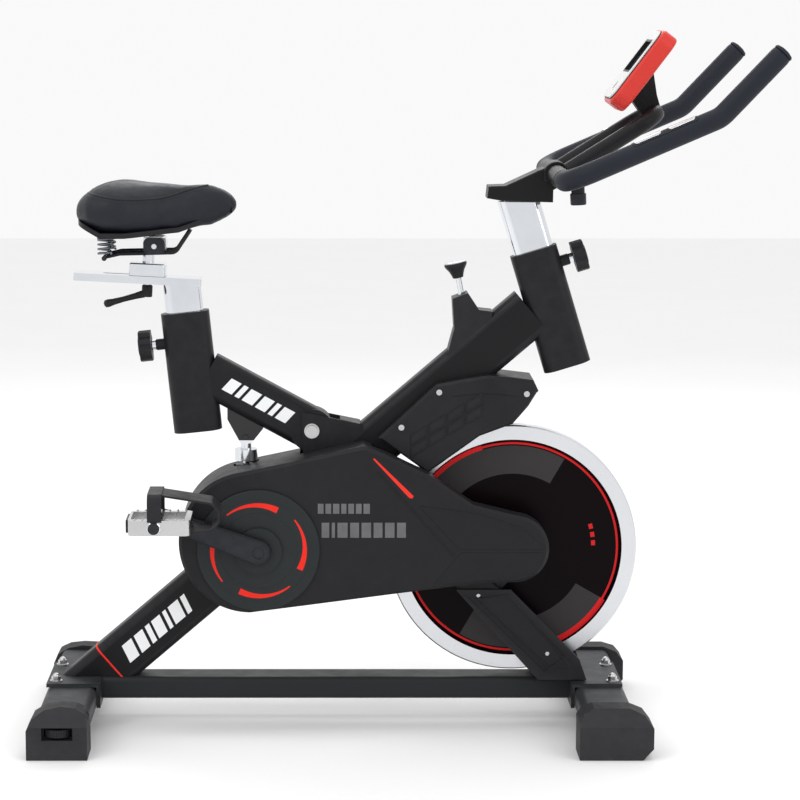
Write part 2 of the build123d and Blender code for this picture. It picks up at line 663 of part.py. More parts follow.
brake_room = rod(on_brake(200), on_brake(460), 6.5)
boot_outline = [(78, 600), (89, 642), (86, 690), (110, 699), (128, 672), (150, 669.5), (146, 650)]
with BuildPart() as brake_boot:
    add(slab(boot_outline, 22, -22))
    add(slab([(88, 612), (95, 642), (93, 680), (106, 688), (120, 668), (134, 658)], 19, -19),
        mode=Mode.SUBTRACT)
    for tool in (main_outer, brake_room):
        add(tool, mode=Mode.SUBTRACT)
save(brake_boot, "brake_boot")

# ---- brake ---------------------------------------------------------------------------------
ROD_R, ROD_TOP, KNOB_LOW, KNOB_HIGH = 5, 452, 444, 470
PAD_LOW, PAD_HIGH = WHEEL_R + 4.3, WHEEL_R + 13
pad_span = Plane(origin=wheel, x_dir=brake_out, z_dir=(0, -1, 0))


def pad_arc(low, high, width, half_angle):
    """A block that follows the rim, centred on the brake's axis."""
    with BuildPart(mode=Mode.PRIVATE) as arc:
        with BuildSketch(pad_span.offset(-width / 2)):
            Circle(high)
            Circle(low, mode=Mode.SUBTRACT)
            with BuildLine(mode=Mode.PRIVATE) as wedge_line:
                reach = 2 * high
                Polyline(
                    (0, 0), (reach, reach * tan(radians(half_angle))),
                    (reach, -reach * tan(radians(half_angle))), close=True,
                )
            make_face(wedge_line.edges(), mode=Mode.INTERSECT)
        extrude(amount=width)
    return arc


brake_pad = pad_arc(PAD_LOW, PAD_HIGH, 26, 9)
save(brake_pad, "brake_pad")
with BuildPart() as brake_rod:
    add(pad_arc(PAD_HIGH, PAD_HIGH + 6, 28, 9.5).part)
    add(rod(on_brake(PAD_HIGH + 5), on_brake(PAD_HIGH + 16), 9))
    add(rod(on_brake(PAD_HIGH + 5), on_brake(ROD_TOP), ROD_R))
    add(pad_arc(PAD_LOW, PAD_HIGH, 30, 12).part, mode=Mode.SUBTRACT)
save(brake_rod, "brake_rod")



def grip_knob(at, way, radius, length, lobes):
    """A hand knob's head: a lobed disc with its axis along way, its inner face at the point given."""
    with BuildPart(mode=Mode.PRIVATE) as knob:
        with BuildSketch(Plane(origin=at, x_dir=(0, 1, 0), z_dir=way)):
            Circle(radius)
            with PolarLocations(radius + 5, lobes):
                Circle(8, mode=Mode.SUBTRACT)
        extrude(amount=length)
        fillet(knob.faces().sort_by(Axis(at, way))[-1].edges(), 2)
    return knob.part


brake_knob_stock = fuse(
    grip_knob(on_brake(KNOB_LOW + 8), brake_out, 19, KNOB_HIGH - KNOB_LOW - 8, 8),
    rod(on_brake(KNOB_LOW), on_brake(KNOB_LOW + 8), 9),
)
with BuildPart() as brake_knob:
    add(brake_knob_stock)
    add(rod(on_brake(KNOB_LOW - 1), on_brake(ROD_TOP + 1), ROD_R + RUNNING), mode=Mode.SUBTRACT)
save(brake_knob, "brake_knob")

# ---- sprung seat beam ----------------------------------------------------------------------
beam_way = heading(-BEAM_ANGLE)
beam_start = PIVOT - beam_way * 190
beam_outer = bar(beam_start, PIVOT, BEAM_WIDTH, BEAM_DEPTH, 12)
beam_bore = bar(beam_start, PIVOT, BEAM_WIDTH - 2 * WALL, BEAM_DEPTH - 2 * WALL, 12 - WALL)
BOLT_R, EAR_INNER, EAR_OUTER = 6, 20.5, 24

with BuildPart() as seat_beam:
    add(beam_outer)
    add(cross_rod(PIVOT.X, PIVOT.Z, BEAM_DEPTH / 2, 20, -20))
    add(beam_bore, mode=Mode.SUBTRACT)
    add(cross_rod(PIVOT.X, PIVOT.Z, 14, 20, -20))
    add(cross_rod(PIVOT.X, PIVOT.Z, BOLT_R + RUNNING, 21, -21), mode=Mode.SUBTRACT)
    add(sleeve_outer, mode=Mode.SUBTRACT)
save(seat_beam, "seat_beam")

with BuildPart() as beam_bracket:
    add(slab(bracket_outline, EAR_OUTER, EAR_INNER))
    add(slab(bracket_outline, -EAR_INNER, -EAR_OUTER))
    add(slab([(-92, 497), (-60, 490), (-50, 470), (-90, 440)], EAR_INNER, -EAR_INNER))
    add(main_outer, mode=Mode.SUBTRACT)
    add(cross_rod(PIVOT.X, PIVOT.Z, BOLT_R, 30, -30), mode=Mode.SUBTRACT)
    add(cross_rod(PIVOT.X, PIVOT.Z, BEAM_DEPTH / 2 + 2, EAR_INNER, -EAR_INNER), mode=Mode.SUBTRACT)
save(beam_bracket, "beam_bracket")

with BuildPart() as pivot_bolt:
    add(cross_rod(PIVOT.X, PIVOT.Z, BOLT_R, 32, -32))
    add(cross_rod(PIVOT.X, PIVOT.Z, 12, EAR_OUTER + 1.6, EAR_OUTER))
    add(cross_rod(PIVOT.X, PIVOT.Z, 12, -EAR_OUTER, -EAR_OUTER - 1.6))
    with BuildSketch(side(EAR_OUTER + 9)):
        with Locations((PIVOT.X, PIVOT.Z)):
            RegularPolygon(10, 6)
    extrude(amount=7.4)
    with BuildSketch(side(-EAR_OUTER - 1.6)):
        with Locations((PIVOT.X, PIVOT.Z)):
            Circle(9.5)
            RegularPolygon(4.6, 6, mode=Mode.SUBTRACT)
    extrude(amount=6.4)
save(pivot_bolt, "pivot_bolt")

sleeve_bush_hole = rod(sleeve_knob_at, sleeve_knob_at + sleeve_knob_way * 80, KNOB_BUSH_R)
with BuildPart() as seat_sleeve:
    add(sleeve_outer)
    for tool in (sleeve_bore, sleeve_bush_hole):
        add(tool, mode=Mode.SUBTRACT)
    add(knob_bush(sleeve_knob_at, sleeve_knob_way, SLEEVE_DEPTH / 2, SEAT_POST_DEPTH / 2))
save(seat_sleeve, "seat_sleeve")

with BuildPart() as seat_bush:
    add(liner(SLEEVE_TOP, sleeve_up, 110, SLEEVE_WIDTH, SLEEVE_DEPTH, SEAT_POST_DEPTH).part)
    add(sleeve_bush_hole, mode=Mode.SUBTRACT)
save(seat_bush, "seat_bush")


def spring_knob(at, way, half_depth, post_half):
    """A pull knob: lobed head, collar and the pin that bears on the post."""
    face = at + way * (half_depth + KNOB_BUSH_LENGTH)
    pin = rod(at + way * (post_half + GAP), face + way * 8, PIN_R)
    collar = rod(face + way * GAP, face + way * 8, 8)
    return fuse(pin, collar, grip_knob(face + way * 8, way, 25, 20, 8))


with BuildPart() as head_knob:
    add(spring_knob(head_knob_at, head_knob_way, HEAD_DEPTH / 2, HANDLE_POST_DEPTH / 2))
save(head_knob, "head_knob")
with BuildPart() as seat_knob:
    add(spring_knob(sleeve_knob_at, sleeve_knob_way, SLEEVE_DEPTH / 2, SEAT_POST_DEPTH / 2))
save(seat_knob, "seat_knob")

# The damper: a head pinned under the beam slides over a guide that stands on the main tube.
LUG_INNER, LUG_OUTER = 7, 11
lug_outline = [(-272, 520), (-215, 490), (-215, 480), (-234, 456), (-251, 456), (-272, 495)]
with BuildPart() as damper_head:
    for y in (LUG_OUTER, -LUG_INNER):
        add(slab(lug_outline, y, y - (LUG_OUTER - LUG_INNER)))
    add(beam_outer, mode=Mode.SUBTRACT)
    add(cross_rod(DAMPER_X, DAMPER_PIN_Z, 4, 15, -15))
    add(cross_rod(DAMPER_X, DAMPER_PIN_Z, 8, LUG_INNER, -LUG_INNER))
    add(rod((DAMPER_X, 0, 446), (DAMPER_X, 0, 460), 9))
    add(rod((DAMPER_X, 0, 428), (DAMPER_X, 0, 446), 18.5))
    add(rod((DAMPER_X, 0, 427), (DAMPER_X, 0, 442), 9), mode=Mode.SUBTRACT)
save(damper_head, "damper_head")
with BuildPart() as damper_base:
    add(rod((DAMPER_X, 0, 300), (DAMPER_X, 0, 400), 14))
    add(rod((DAMPER_X, 0, 400), (DAMPER_X, 0, 434), 5))
    add(rod((DAMPER_X, 0, 400), (DAMPER_X, 0, 421), 17))
    add(main_outer, mode=Mode.SUBTRACT)
save(damper_base, "damper_base")

# ---- seat post, rail, slider and saddle ----------------------------------------------------
RAIL_TILT, RAIL_LENGTH, RAIL_WIDTH, RAIL_HIGH = -3, 202, 50, 12
rail_way, rail_up = heading(RAIL_TILT), heading(90 + RAIL_TILT)
rail_front = Vector(-311.6, 0, 721)
rail_plane = Plane(origin=rail_front, x_dir=rail_way, z_dir=rail_up)
BOLT_AT = -86

post_stock = bar(
    SLEEVE_TOP - sleeve_up * 130, SLEEVE_TOP + sleeve_up * 70, POST_WIDTH, SEAT_POST_DEPTH, 14
)
with BuildPart() as seat_post:
    add(post_stock)
    add(
        bar(
            SLEEVE_TOP - sleeve_up * 131, SLEEVE_TOP + sleeve_up * 40,
            POST_WIDTH - 4, SEAT_POST_DEPTH - 4, 12,
        ),
        mode=Mode.SUBTRACT,
    )
    split(bisect_by=rail_plane.offset(-RAIL_HIGH), keep=Keep.BOTTOM)
save(seat_post, "seat_post")

with BuildPart() as seat_rail:
    with BuildSketch(rail_plane.offset(-RAIL_HIGH)):
        with Locations((-RAIL_LENGTH / 2, 0)):
            RectangleRounded(RAIL_LENGTH, RAIL_WIDTH, 4)
    extrude(amount=RAIL_HIGH)
    with BuildSketch(rail_plane.offset(-RAIL_HIGH)):
        with Locations((-RAIL_LENGTH / 2 - 34, 0)):
            Rectangle(RAIL_LENGTH - 74, RAIL_WIDTH - 6)
    extrude(amount=RAIL_HIGH - 3, mode=Mode.SUBTRACT)
    with BuildSketch(rail_plane.offset(-4)):
        with Locations((BOLT_AT - 26, 0)):
            SlotOverall(90, 9)
    extrude(amount=5, mode=Mode.SUBTRACT)
save(seat_rail, "seat_rail")


def on_rail(along, up):
    """A point above the rail's middle line, measured along it from its front end."""
    return rail_front + rail_way * along + rail_up * up


clamp_at = Vector(-385, 0, 774)
slider_stock = Plane(origin=on_rail(BOLT_AT, GAP), x_dir=rail_way, z_dir=rail_up)
with BuildPart() as seat_slider:
    with BuildSketch(slider_stock):
        RectangleRounded(58, 44, 6)
    extrude(amount=20)
    fillet(seat_slider.faces().sort_by(Axis.Z)[-1].edges(), 3)
    add(rod(on_rail(BOLT_AT, 10), on_rail(BOLT_AT, 44), 9.5))
    add(rod(on_rail(BOLT_AT, -34), on_rail(BOLT_AT, 5), 4))
    add(block((clamp_at.X - 18, -16, 763), (clamp_at.X + 18, 16, 786)))
    add(cross_rod(clamp_at.X, clamp_at.Z, 4, 36, -36))
save(seat_slider, "seat_slider")

lever_low = on_rail(BOLT_AT, -34)
with BuildPart() as seat_lever:
    with BuildSketch(Plane(origin=lever_low, x_dir=rail_way, z_dir=rail_up)):
        Circle(9)
    extrude(amount=20)
    with BuildSketch(Plane(origin=lever_low, x_dir=rail_way, z_dir=rail_up)):
        Circle(7)
        with Locations((-64, -22)):
            Circle(5)
        make_hull()
        with Locations((-66, -23)):
            Circle(6.5)
    extrude(amount=7)
    add(rod(lever_low - rail_up, on_rail(BOLT_AT, 0), 4 + RUNNING), mode=Mode.SUBTRACT)
save(seat_lever, "seat_lever")

RAIL_WIRE_Y, RAIL_WIRE_Z, RAIL_WIRE_R = 24, 757, 3.5
SPRING_X, SPRING_Y, SPRING_LOW, SPRING_HIGH = -462, 42, 762, 790
SPRING_OUTER_R, SPRING_INNER_R = 12, 8
SADDLE_HALF = 100
with BuildPart(mode=Mode.PRIVATE) as wire:
    with BuildLine():
        FilletPolyline(
            (SPRING_X, RAIL_WIRE_Y, RAIL_WIRE_Z), (-440, RAIL_WIRE_Y, 762), (-352, RAIL_WIRE_Y, 764),
            (-330, 16, 797), radius=12,
        )
    with BuildSketch(Plane(origin=(SPRING_X, RAIL_WIRE_Y, RAIL_WIRE_Z), z_dir=(22, 0, 5))):
        Circle(RAIL_WIRE_R)
    sweep()
with BuildPart(mode=Mode.PRIVATE) as rail_wires:
    add(wire.part)
    mirror(about=Plane.XZ)
    add(cross_rod(SPRING_X, RAIL_WIRE_Z, 4, 54, -54))

with BuildPart() as saddle_rails:
    with BuildSketch(side(34)):
        with Locations((clamp_at.X, clamp_at.Z)):
            RectangleRounded(34, 26, 8)
    extrude(amount=34 - 16.5)
    mirror(about=Plane.XZ)
    add(cross_rod(clamp_at.X, clamp_at.Z, 4 + RUNNING, 40, -40), mode=Mode.SUBTRACT)
    add(rail_wires.part)
save(saddle_rails, "saddle_rails")

with BuildPart() as saddle_springs:
    for y in (-SPRING_Y, SPRING_Y):
        add(rod((SPRING_X, y, SPRING_LOW), (SPRING_X, y, SPRING_HIGH), SPRING_OUTER_R))
        add(
            rod((SPRING_X, y, SPRING_LOW - 1), (SPRING_X, y, SPRING_HIGH + 1), SPRING_INNER_R),
            mode=Mode.SUBTRACT,
        )
save(saddle_springs, "saddle_springs")

saddle_side = [(-513, 829), (-506, 848), (-480, 871), (-439, 878), (-390, 871), (-334, 865),
               (-293, 869), (-262, 858), (-249, 843), (-267, 823), (-292, 814), (-346, 796),
               (-428, 790), (-466, 790), (-492, 806)]


def saddle_plan(inset):
    """The saddle seen from above: a wide rear that narrows to a blunt nose."""
    with BuildPart(mode=Mode.PRIVATE) as stock:
        with BuildSketch(Plane.XY.offset(780)):
            with BuildLine():
                edge = Spline(
                    (-513 + inset, 0), (-486, 82 - inset), (-430, 90 - inset), (-360, 50 - inset),
                    (-310, 26 - inset), (-265, 20 - inset), (-249 - inset, 0),
                    tangents=[(0, 1), (0, -1)],
                )
                mirror(edge, about=Plane.XZ)
            make_face()
        extrude(amount=110)
    return stock.part


base_side = [(-504, 810), (-466, 790), (-428, 790), (-346, 796), (-292, 814), (-262, 826),
             (-262, 834), (-292, 822), (-346, 804), (-428, 798), (-466, 798), (-504, 818)]
with BuildPart() as saddle_base:
    add(common(slab(base_side, SADDLE_HALF, -SADDLE_HALF), saddle_plan(9)))
    add(rail_wires.part, mode=Mode.SUBTRACT)
save(saddle_base, "saddle_base")

with BuildPart() as saddle_pad:
    add(common(slab(saddle_side, SADDLE_HALF, -SADDLE_HALF), saddle_plan(0)))
    add(common(slab(base_side, SADDLE_HALF, -SADDLE_HALF), saddle_plan(9)), mode=Mode.SUBTRACT)
    add(common(slab([(-514, 816), (-466, 791), (-428, 791), (-346, 797), (-262, 827), (-262, 770),
                     (-514, 770)], SADDLE_HALF, -SADDLE_HALF), saddle_plan(9)), mode=Mode.SUBTRACT)
    add(rail_wires.part, mode=Mode.SUBTRACT)
save(saddle_pad, "saddle_pad")

# ---- handlebar -----------------------------------------------------------------------------
stem_outline = [(139, 849), (141, 868), (168, 869), (222, 894), (247, 903), (264, 897), (262, 872),
                (243, 862), (242.7, 842.5), (162, 845)]
bar_room = cross_rod(BAR_X, BAR_Z, HANDLE_R, 260, -260)
with BuildPart() as handlebar_post:
    add(bar(HEAD_TOP - head_up * 115, HEAD_TOP + head_up * 100, POST_WIDTH, HANDLE_POST_DEPTH, 14))
    add(
        bar(HEAD_TOP - head_up * 116, HEAD_TOP + head_up * 101, POST_WIDTH - 4, HANDLE_POST_DEPTH - 4, 12),
        mode=Mode.SUBTRACT,
    )
    add(slab([(60, 843.5), (300, 841), (300, 960), (60, 960)], 40, -40), mode=Mode.SUBTRACT)
save(handlebar_post, "handlebar_post")

with BuildPart() as stem:
    add(slab(stem_outline, 27, -27))
    fillet(stem.faces().filter_by(Axis.Y).edges(), 3)
    add(cross_rod(BAR_X, BAR_Z, HANDLE_R, BAR_HALF, -BAR_HALF))
    add(cross_rod(BAR_X, BAR_Z, HANDLE_R - 2, BAR_HALF + 1, -BAR_HALF - 1), mode=Mode.SUBTRACT)
    add(slab([(60, 840), (300, 840), (300, 841), (60, 843.5)], 40, -40), mode=Mode.SUBTRACT)
save(stem, "stem")

HANDLE_BEND, HANDLE_END = (475, -HANDLE_Y, 983), (564.5, -HANDLE_Y, 1077.5)
with BuildPart() as handle_right:
    with BuildLine():
        FilletPolyline(
            (BAR_X, -BAR_HALF, BAR_Z), (BAR_X, -HANDLE_Y, BAR_Z), HANDLE_BEND, HANDLE_END, radius=45
        )
    with BuildSketch(side(-BAR_HALF)):
        with Locations((BAR_X, BAR_Z)):
            Circle(HANDLE_R)
            Circle(HANDLE_R - 2, mode=Mode.SUBTRACT)
    sweep()
save(handle_right, "handle_right")
with BuildPart() as handle_left:
    mirror(handle_right.part, about=Plane.XZ)
save(handle_left, "handle_left")

LOOP_Y, LOOP_R = 60, 13
loop_low, loop_high = (262, 894), (402, 982)
with BuildPart(mode=Mode.PRIVATE) as inner_loop:
    with BuildLine():
        FilletPolyline(
            (loop_low[0], -LOOP_Y, loop_low[1]), (loop_high[0], -LOOP_Y, loop_high[1]),
            (loop_high[0], LOOP_Y, loop_high[1]), (loop_low[0], LOOP_Y, loop_low[1]), radius=42,
        )
    with BuildSketch(
        Plane(
            origin=(loop_low[0], -LOOP_Y, loop_low[1]),
            z_dir=(loop_high[0] - loop_low[0], 0, loop_high[1] - loop_low[1]),
        )
    ):
        Circle(LOOP_R)
    sweep()
    add(bar_room, mode=Mode.SUBTRACT)

# ---- console -------------------------------------------------------------------------------
CONSOLE_SLOPE, CONSOLE_LENGTH, CONSOLE_WIDTH, CONSOLE_THICK = 53, 140, 118, 28
CONSOLE_CORNER, SCREEN_RECESS = 24, 6
SCREEN_AT, SCREEN_LENGTH, SCREEN_WIDTH = (16, 0), 62, 82
BUTTON_AT, BUTTON_R = (-42, 0), 8
console_out = Axis((0, 0, 0), heading(90 + CONSOLE_SLOPE))
console_plane = Plane(
    origin=(367.6, 0, 1056.4), x_dir=heading(CONSOLE_SLOPE), z_dir=heading(90 + CONSOLE_SLOPE)
)
with BuildPart() as console_housing:
    with BuildSketch(console_plane.offset(-CONSOLE_THICK)):
        RectangleRounded(CONSOLE_LENGTH, CONSOLE_WIDTH, CONSOLE_CORNER)
    extrude(amount=CONSOLE_THICK)
    console_faces = console_housing.faces().sort_by(console_out)
    fillet(console_faces[0].edges() + console_faces[-1].edges(), 5)
    with BuildSketch(console_plane):
        with Locations(SCREEN_AT):
            RectangleRounded(SCREEN_LENGTH, SCREEN_WIDTH, 5)
    extrude(amount=-SCREEN_RECESS, mode=Mode.SUBTRACT)
    with BuildSketch(console_plane):
        with Locations(BUTTON_AT):
            Circle(BUTTON_R + GAP)
    extrude(amount=-8, mode=Mode.SUBTRACT)
save(console_housing, "console_housing")

with BuildPart() as console_screen:
    with BuildSketch(console_plane.offset(-SCREEN_RECESS)):
        with Locations(SCREEN_AT):
            RectangleRounded(SCREEN_LENGTH, SCREEN_WIDTH, 5)
    extrude(amount=4)
save(console_screen, "console_screen")

with BuildPart() as console_button:
    with BuildSketch(console_plane.offset(-5)):
        with Locations(BUTTON_AT):
            Circle(BUTTON_R)
    extrude(amount=7)
    fillet(console_button.faces().sort_by(console_out)[-1].edges(), 1.5)
save(console_button, "console_button")

# The console's bracket is welded to the loop's front.
with BuildPart() as console_loop:
    add(inner_loop.part)
    add(slab([(366, 1000), (384, 976), (412, 984), (404, 1010), (398, 1046), (382, 1026)], 15, -15))
    add(console_housing.part, mode=Mode.SUBTRACT)
save(console_loop, "console_loop")
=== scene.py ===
import json
import math

import bmesh
import bpy
from mathutils import Matrix, Vector


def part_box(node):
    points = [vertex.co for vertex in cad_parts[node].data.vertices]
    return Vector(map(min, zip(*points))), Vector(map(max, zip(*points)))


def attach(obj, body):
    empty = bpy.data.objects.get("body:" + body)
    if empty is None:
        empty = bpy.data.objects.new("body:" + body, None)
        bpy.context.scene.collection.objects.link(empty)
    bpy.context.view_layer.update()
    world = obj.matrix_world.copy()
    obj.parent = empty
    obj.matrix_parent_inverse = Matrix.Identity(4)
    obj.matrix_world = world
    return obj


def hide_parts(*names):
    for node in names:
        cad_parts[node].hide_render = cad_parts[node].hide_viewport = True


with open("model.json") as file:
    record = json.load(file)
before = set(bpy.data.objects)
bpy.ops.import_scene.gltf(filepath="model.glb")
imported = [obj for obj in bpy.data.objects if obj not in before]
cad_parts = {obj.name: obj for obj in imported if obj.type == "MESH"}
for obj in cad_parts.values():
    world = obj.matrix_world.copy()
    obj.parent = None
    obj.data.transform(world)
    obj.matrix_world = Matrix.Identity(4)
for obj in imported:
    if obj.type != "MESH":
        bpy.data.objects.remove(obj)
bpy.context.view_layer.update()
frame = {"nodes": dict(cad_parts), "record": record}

NODES = frame["nodes"]

# ---- places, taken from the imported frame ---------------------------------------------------
JOINTS = {joint["name"]: joint for joint in frame["record"]["behaviour"]["joints"]}
CRANK = Vector(JOINTS["crank_spin"]["pos_m"])
WHEEL = Vector(JOINTS["flywheel_spin"]["pos_m"])
PIVOT = Vector(JOINTS["seat_beam_spring"]["pos_m"])
RIGHT_PEDAL = Vector(JOINTS["right_pedal_spin"]["pos_m"])
LEFT_PEDAL = Vector(JOINTS["left_pedal_spin"]["pos_m"])
BRAKE_OUT = -Vector(JOINTS["brake_press"]["axis"])
SLEEVE_KNOB_WAY = Vector(JOINTS["seat_knob_pull"]["axis"])
HEAD_KNOB_WAY = Vector(JOINTS["head_knob_pull"]["axis"])
CONSOLE_OUT = -Vector(JOINTS["console_press"]["axis"])
MAIN_ANGLE = math.radians(40.6)
BEAM_ANGLE = math.radians(-28.5)
CONSOLE_CENTRE = Vector((0.3676, 0, 1.0564))
COVER_FACE, TUBE_FACE, BEAM_FACE, FENDER_FACE = -0.088, -0.024, -0.020, -0.046
DAMPER_CHROME, DAMPER_GUIDE = (0.427, 0.461), (0.4215, 0.45)
SIDES = (("right", -1), ("left", 1))  # names, and signs along Y


def heading(angle):
    """Unit vector in the XZ plane, angle radians above +X."""
    return Vector((math.cos(angle), 0, math.sin(angle)))


# ---- materials -----------------------------------------------------------------------------
class Paint:
    """A procedural material: a Principled shader and short helpers for the nodes that feed it."""

    MIX_INPUTS, MIX_OUTPUT = (6, 7), 2  # the Mix node's colour sockets

    def __init__(self, name, metallic=0.0, roughness=0.5, **sockets):
        self.material = bpy.data.materials.new(name)
        self.material.use_nodes = True
        self.tree = self.material.node_tree
        self.shader = self.tree.nodes["Principled BSDF"]
        self.shader.inputs["Metallic"].default_value = metallic
        self.shader.inputs["Roughness"].default_value = roughness
        for socket, value in sockets.items():
            self.shader.inputs[socket.replace("_", " ")].default_value = value
        self.place = self.node("ShaderNodeTexCoord").outputs["Object"]
        self.height = None

    def node(self, kind, **values):
        made = self.tree.nodes.new(kind)
        for key, value in values.items():
            setattr(made, key, value)
        return made

    def link(self, source, target):
        self.tree.links.new(source, target)

    def math(self, operation, first, second=None):
        made = self.node("ShaderNodeMath", operation=operation)
        for slot, value in enumerate((first, second)):
            if value is None:
                continue
            if isinstance(value, (int, float)):
                made.inputs[slot].default_value = value
            else:
                self.link(value, made.inputs[slot])
        return made.outputs[0]

    def noise(self, scale, detail=4.0, roughness=0.55):
        made = self.node("ShaderNodeTexNoise")
        made.inputs["Scale"].default_value = scale
        made.inputs["Detail"].default_value = detail
        made.inputs["Roughness"].default_value = roughness
        self.link(self.place, made.inputs["Vector"])
        return made.outputs["Fac"]

    def cells(self, scale):
        made = self.node("ShaderNodeTexVoronoi", feature="DISTANCE_TO_EDGE")
        made.inputs["Scale"].default_value = scale
        self.link(self.place, made.inputs["Vector"])
        return made.outputs["Distance"]

    def span(self, value, low, high, new_low=0.0, new_high=1.0):
        made = self.node("ShaderNodeMapRange")
        self.link(value, made.inputs["Value"])
        for socket, number in (("From Min", low), ("From Max", high),
                               ("To Min", new_low), ("To Max", new_high)):
            made.inputs[socket].default_value = number
        return made.outputs["Result"]

    def mix(self, factor, first, second):
        made = self.node("ShaderNodeMix", data_type="RGBA")
        self.link(factor, made.inputs["Factor"])
        for slot, value in zip(self.MIX_INPUTS, (first, second)):
            if isinstance(value, tuple):
                made.inputs[slot].default_value = (*value, 1)
            else:
                self.link(value, made.inputs[slot])
        return made.outputs[self.MIX_OUTPUT]

    def colour(self, value):
        self.link(value, self.shader.inputs["Base Color"])

    def rough(self, value):
        self.link(value, self.shader.inputs["Roughness"])

    def bump(self, height, distance, strength=1.0):
        made = self.node("ShaderNodeBump")
        made.inputs["Distance"].default_value = distance
        made.inputs["Strength"].default_value = strength
        self.link(height, made.inputs["Height"])
        if self.height is not None:
            self.link(self.height, made.inputs["Normal"])
        self.height = made.outputs["Normal"]
        self.link(self.height, self.shader.inputs["Normal"])

    def painted_edge_highlight(self, colour, light, amount=0.6):
        """Adds a painted highlight: a paler line along sharp edges, broken into patches."""
        point = self.node("ShaderNodeNewGeometry").outputs["Pointiness"]
        edge = self.span(point, 0.52, 0.6, 0.0, amount)
        return self.mix(self.math("MULTIPLY", edge, self.noise(60)), colour, light)


def powder_coat(name, base, light, roughness=0.38):
    """Satin powder coat with a faint orange peel."""
    p = Paint(name, roughness=roughness, Specular_IOR_Level=0.15)
    # sharp edges get a painted highlight, a paler line in patches
    p.colour(p.painted_edge_highlight(p.mix(p.noise(9), base, light), tuple(min(1, c * 3) for c in light)))
    p.rough(p.span(p.noise(35), 0.3, 0.7, roughness - 0.05, roughness + 0.07))
    p.bump(p.noise(900, 2), 0.00012, 0.35)
    return p.material


def moulded(name, base, light, roughness=0.5, grain=1400, depth=0.0002):
    """Moulded plastic with a fine spark-eroded grain."""
    p = Paint(name, roughness=roughness, Specular_IOR_Level=0.16)
    # sharp edges get a painted highlight, a paler line in patches
    p.colour(p.painted_edge_highlight(p.mix(p.noise(14), base, light), tuple(min(1, c * 2.4) for c in light), 0.4))
    p.rough(p.span(p.noise(50), 0.3, 0.7, roughness - 0.06, roughness + 0.08))
    p.bump(p.noise(grain, 3), depth, 0.5)
    return p.material


def plated(name, base, dark, roughness=0.1):
    """Chrome or zinc plate with faint wiping marks."""
    p = Paint(name, metallic=1.0, roughness=roughness)
    p.colour(p.mix(p.noise(12), base, dark))
    p.rough(p.span(p.noise(70, 6), 0.3, 0.7, roughness, roughness + 0.08))
    p.bump(p.noise(120, 3), 0.00002, 0.2)
    return p.material


def leather(name, base, light):
    """Grained synthetic leather: creased cells over a soft mottle."""
    p = Paint(name, roughness=0.36, Specular_IOR_Level=0.3)
    p.colour(p.mix(p.noise(26), base, light))
    p.rough(p.span(p.noise(90), 0.3, 0.7, 0.36, 0.52))
    p.bump(p.span(p.cells(520), 0.0, 0.16), 0.00018, 0.55)
    p.bump(p.noise(90, 6), 0.0004, 0.25)
    return p.material


def foam(name, base, light):
    """Closed-cell foam grip."""
    p = Paint(name, roughness=0.55, Specular_IOR_Level=0.22)
    p.colour(p.mix(p.noise(30), base, light))
    p.bump(p.noise(1100, 3), 0.0001, 0.3)
    return p.material


def radius_and_angle(p, centre):
    """Distance and angle (0 to 360 degrees) about an axis along Y, as seen from -Y."""
    axes = p.node("ShaderNodeSeparateXYZ")
    p.link(p.place, axes.inputs[0])
    x = p.math("SUBTRACT", axes.outputs["X"], centre.x)
    z = p.math("SUBTRACT", axes.outputs["Z"], centre.z)
    radius = p.math("SQRT", p.math("ADD", p.math("MULTIPLY", x, x), p.math("MULTIPLY", z, z)))
    turn = p.math("MULTIPLY", p.math("ARCTAN2", z, x), 180 / math.pi)
    return radius, p.math("MODULO", p.math("ADD", turn, 360.0), 360.0)


def between(p, value, low, high):
    """1 where the value lies between two limits, else 0."""
    return p.math("MULTIPLY", p.math("GREATER_THAN", value, low), p.math("LESS_THAN", value, high))


# radii of the marks on the flywheel's face, and their angles in degrees
RIM_FROM, SECTOR_RING, ARC_RING = 0.1765, (0.120, 0.166), (0.166, 0.174)
LINE_RING, DASH_RING = (0.168, 0.1715), (0.128, 0.1345)
SECTORS, ARCS = ((60.0, 150.0), (240.0, 330.0)), ((107.0, 150.0), (287.0, 330.0))
DASH_STEP, DASH, DASHES_TO = 6.0, (1.2, 4.8), 18.0


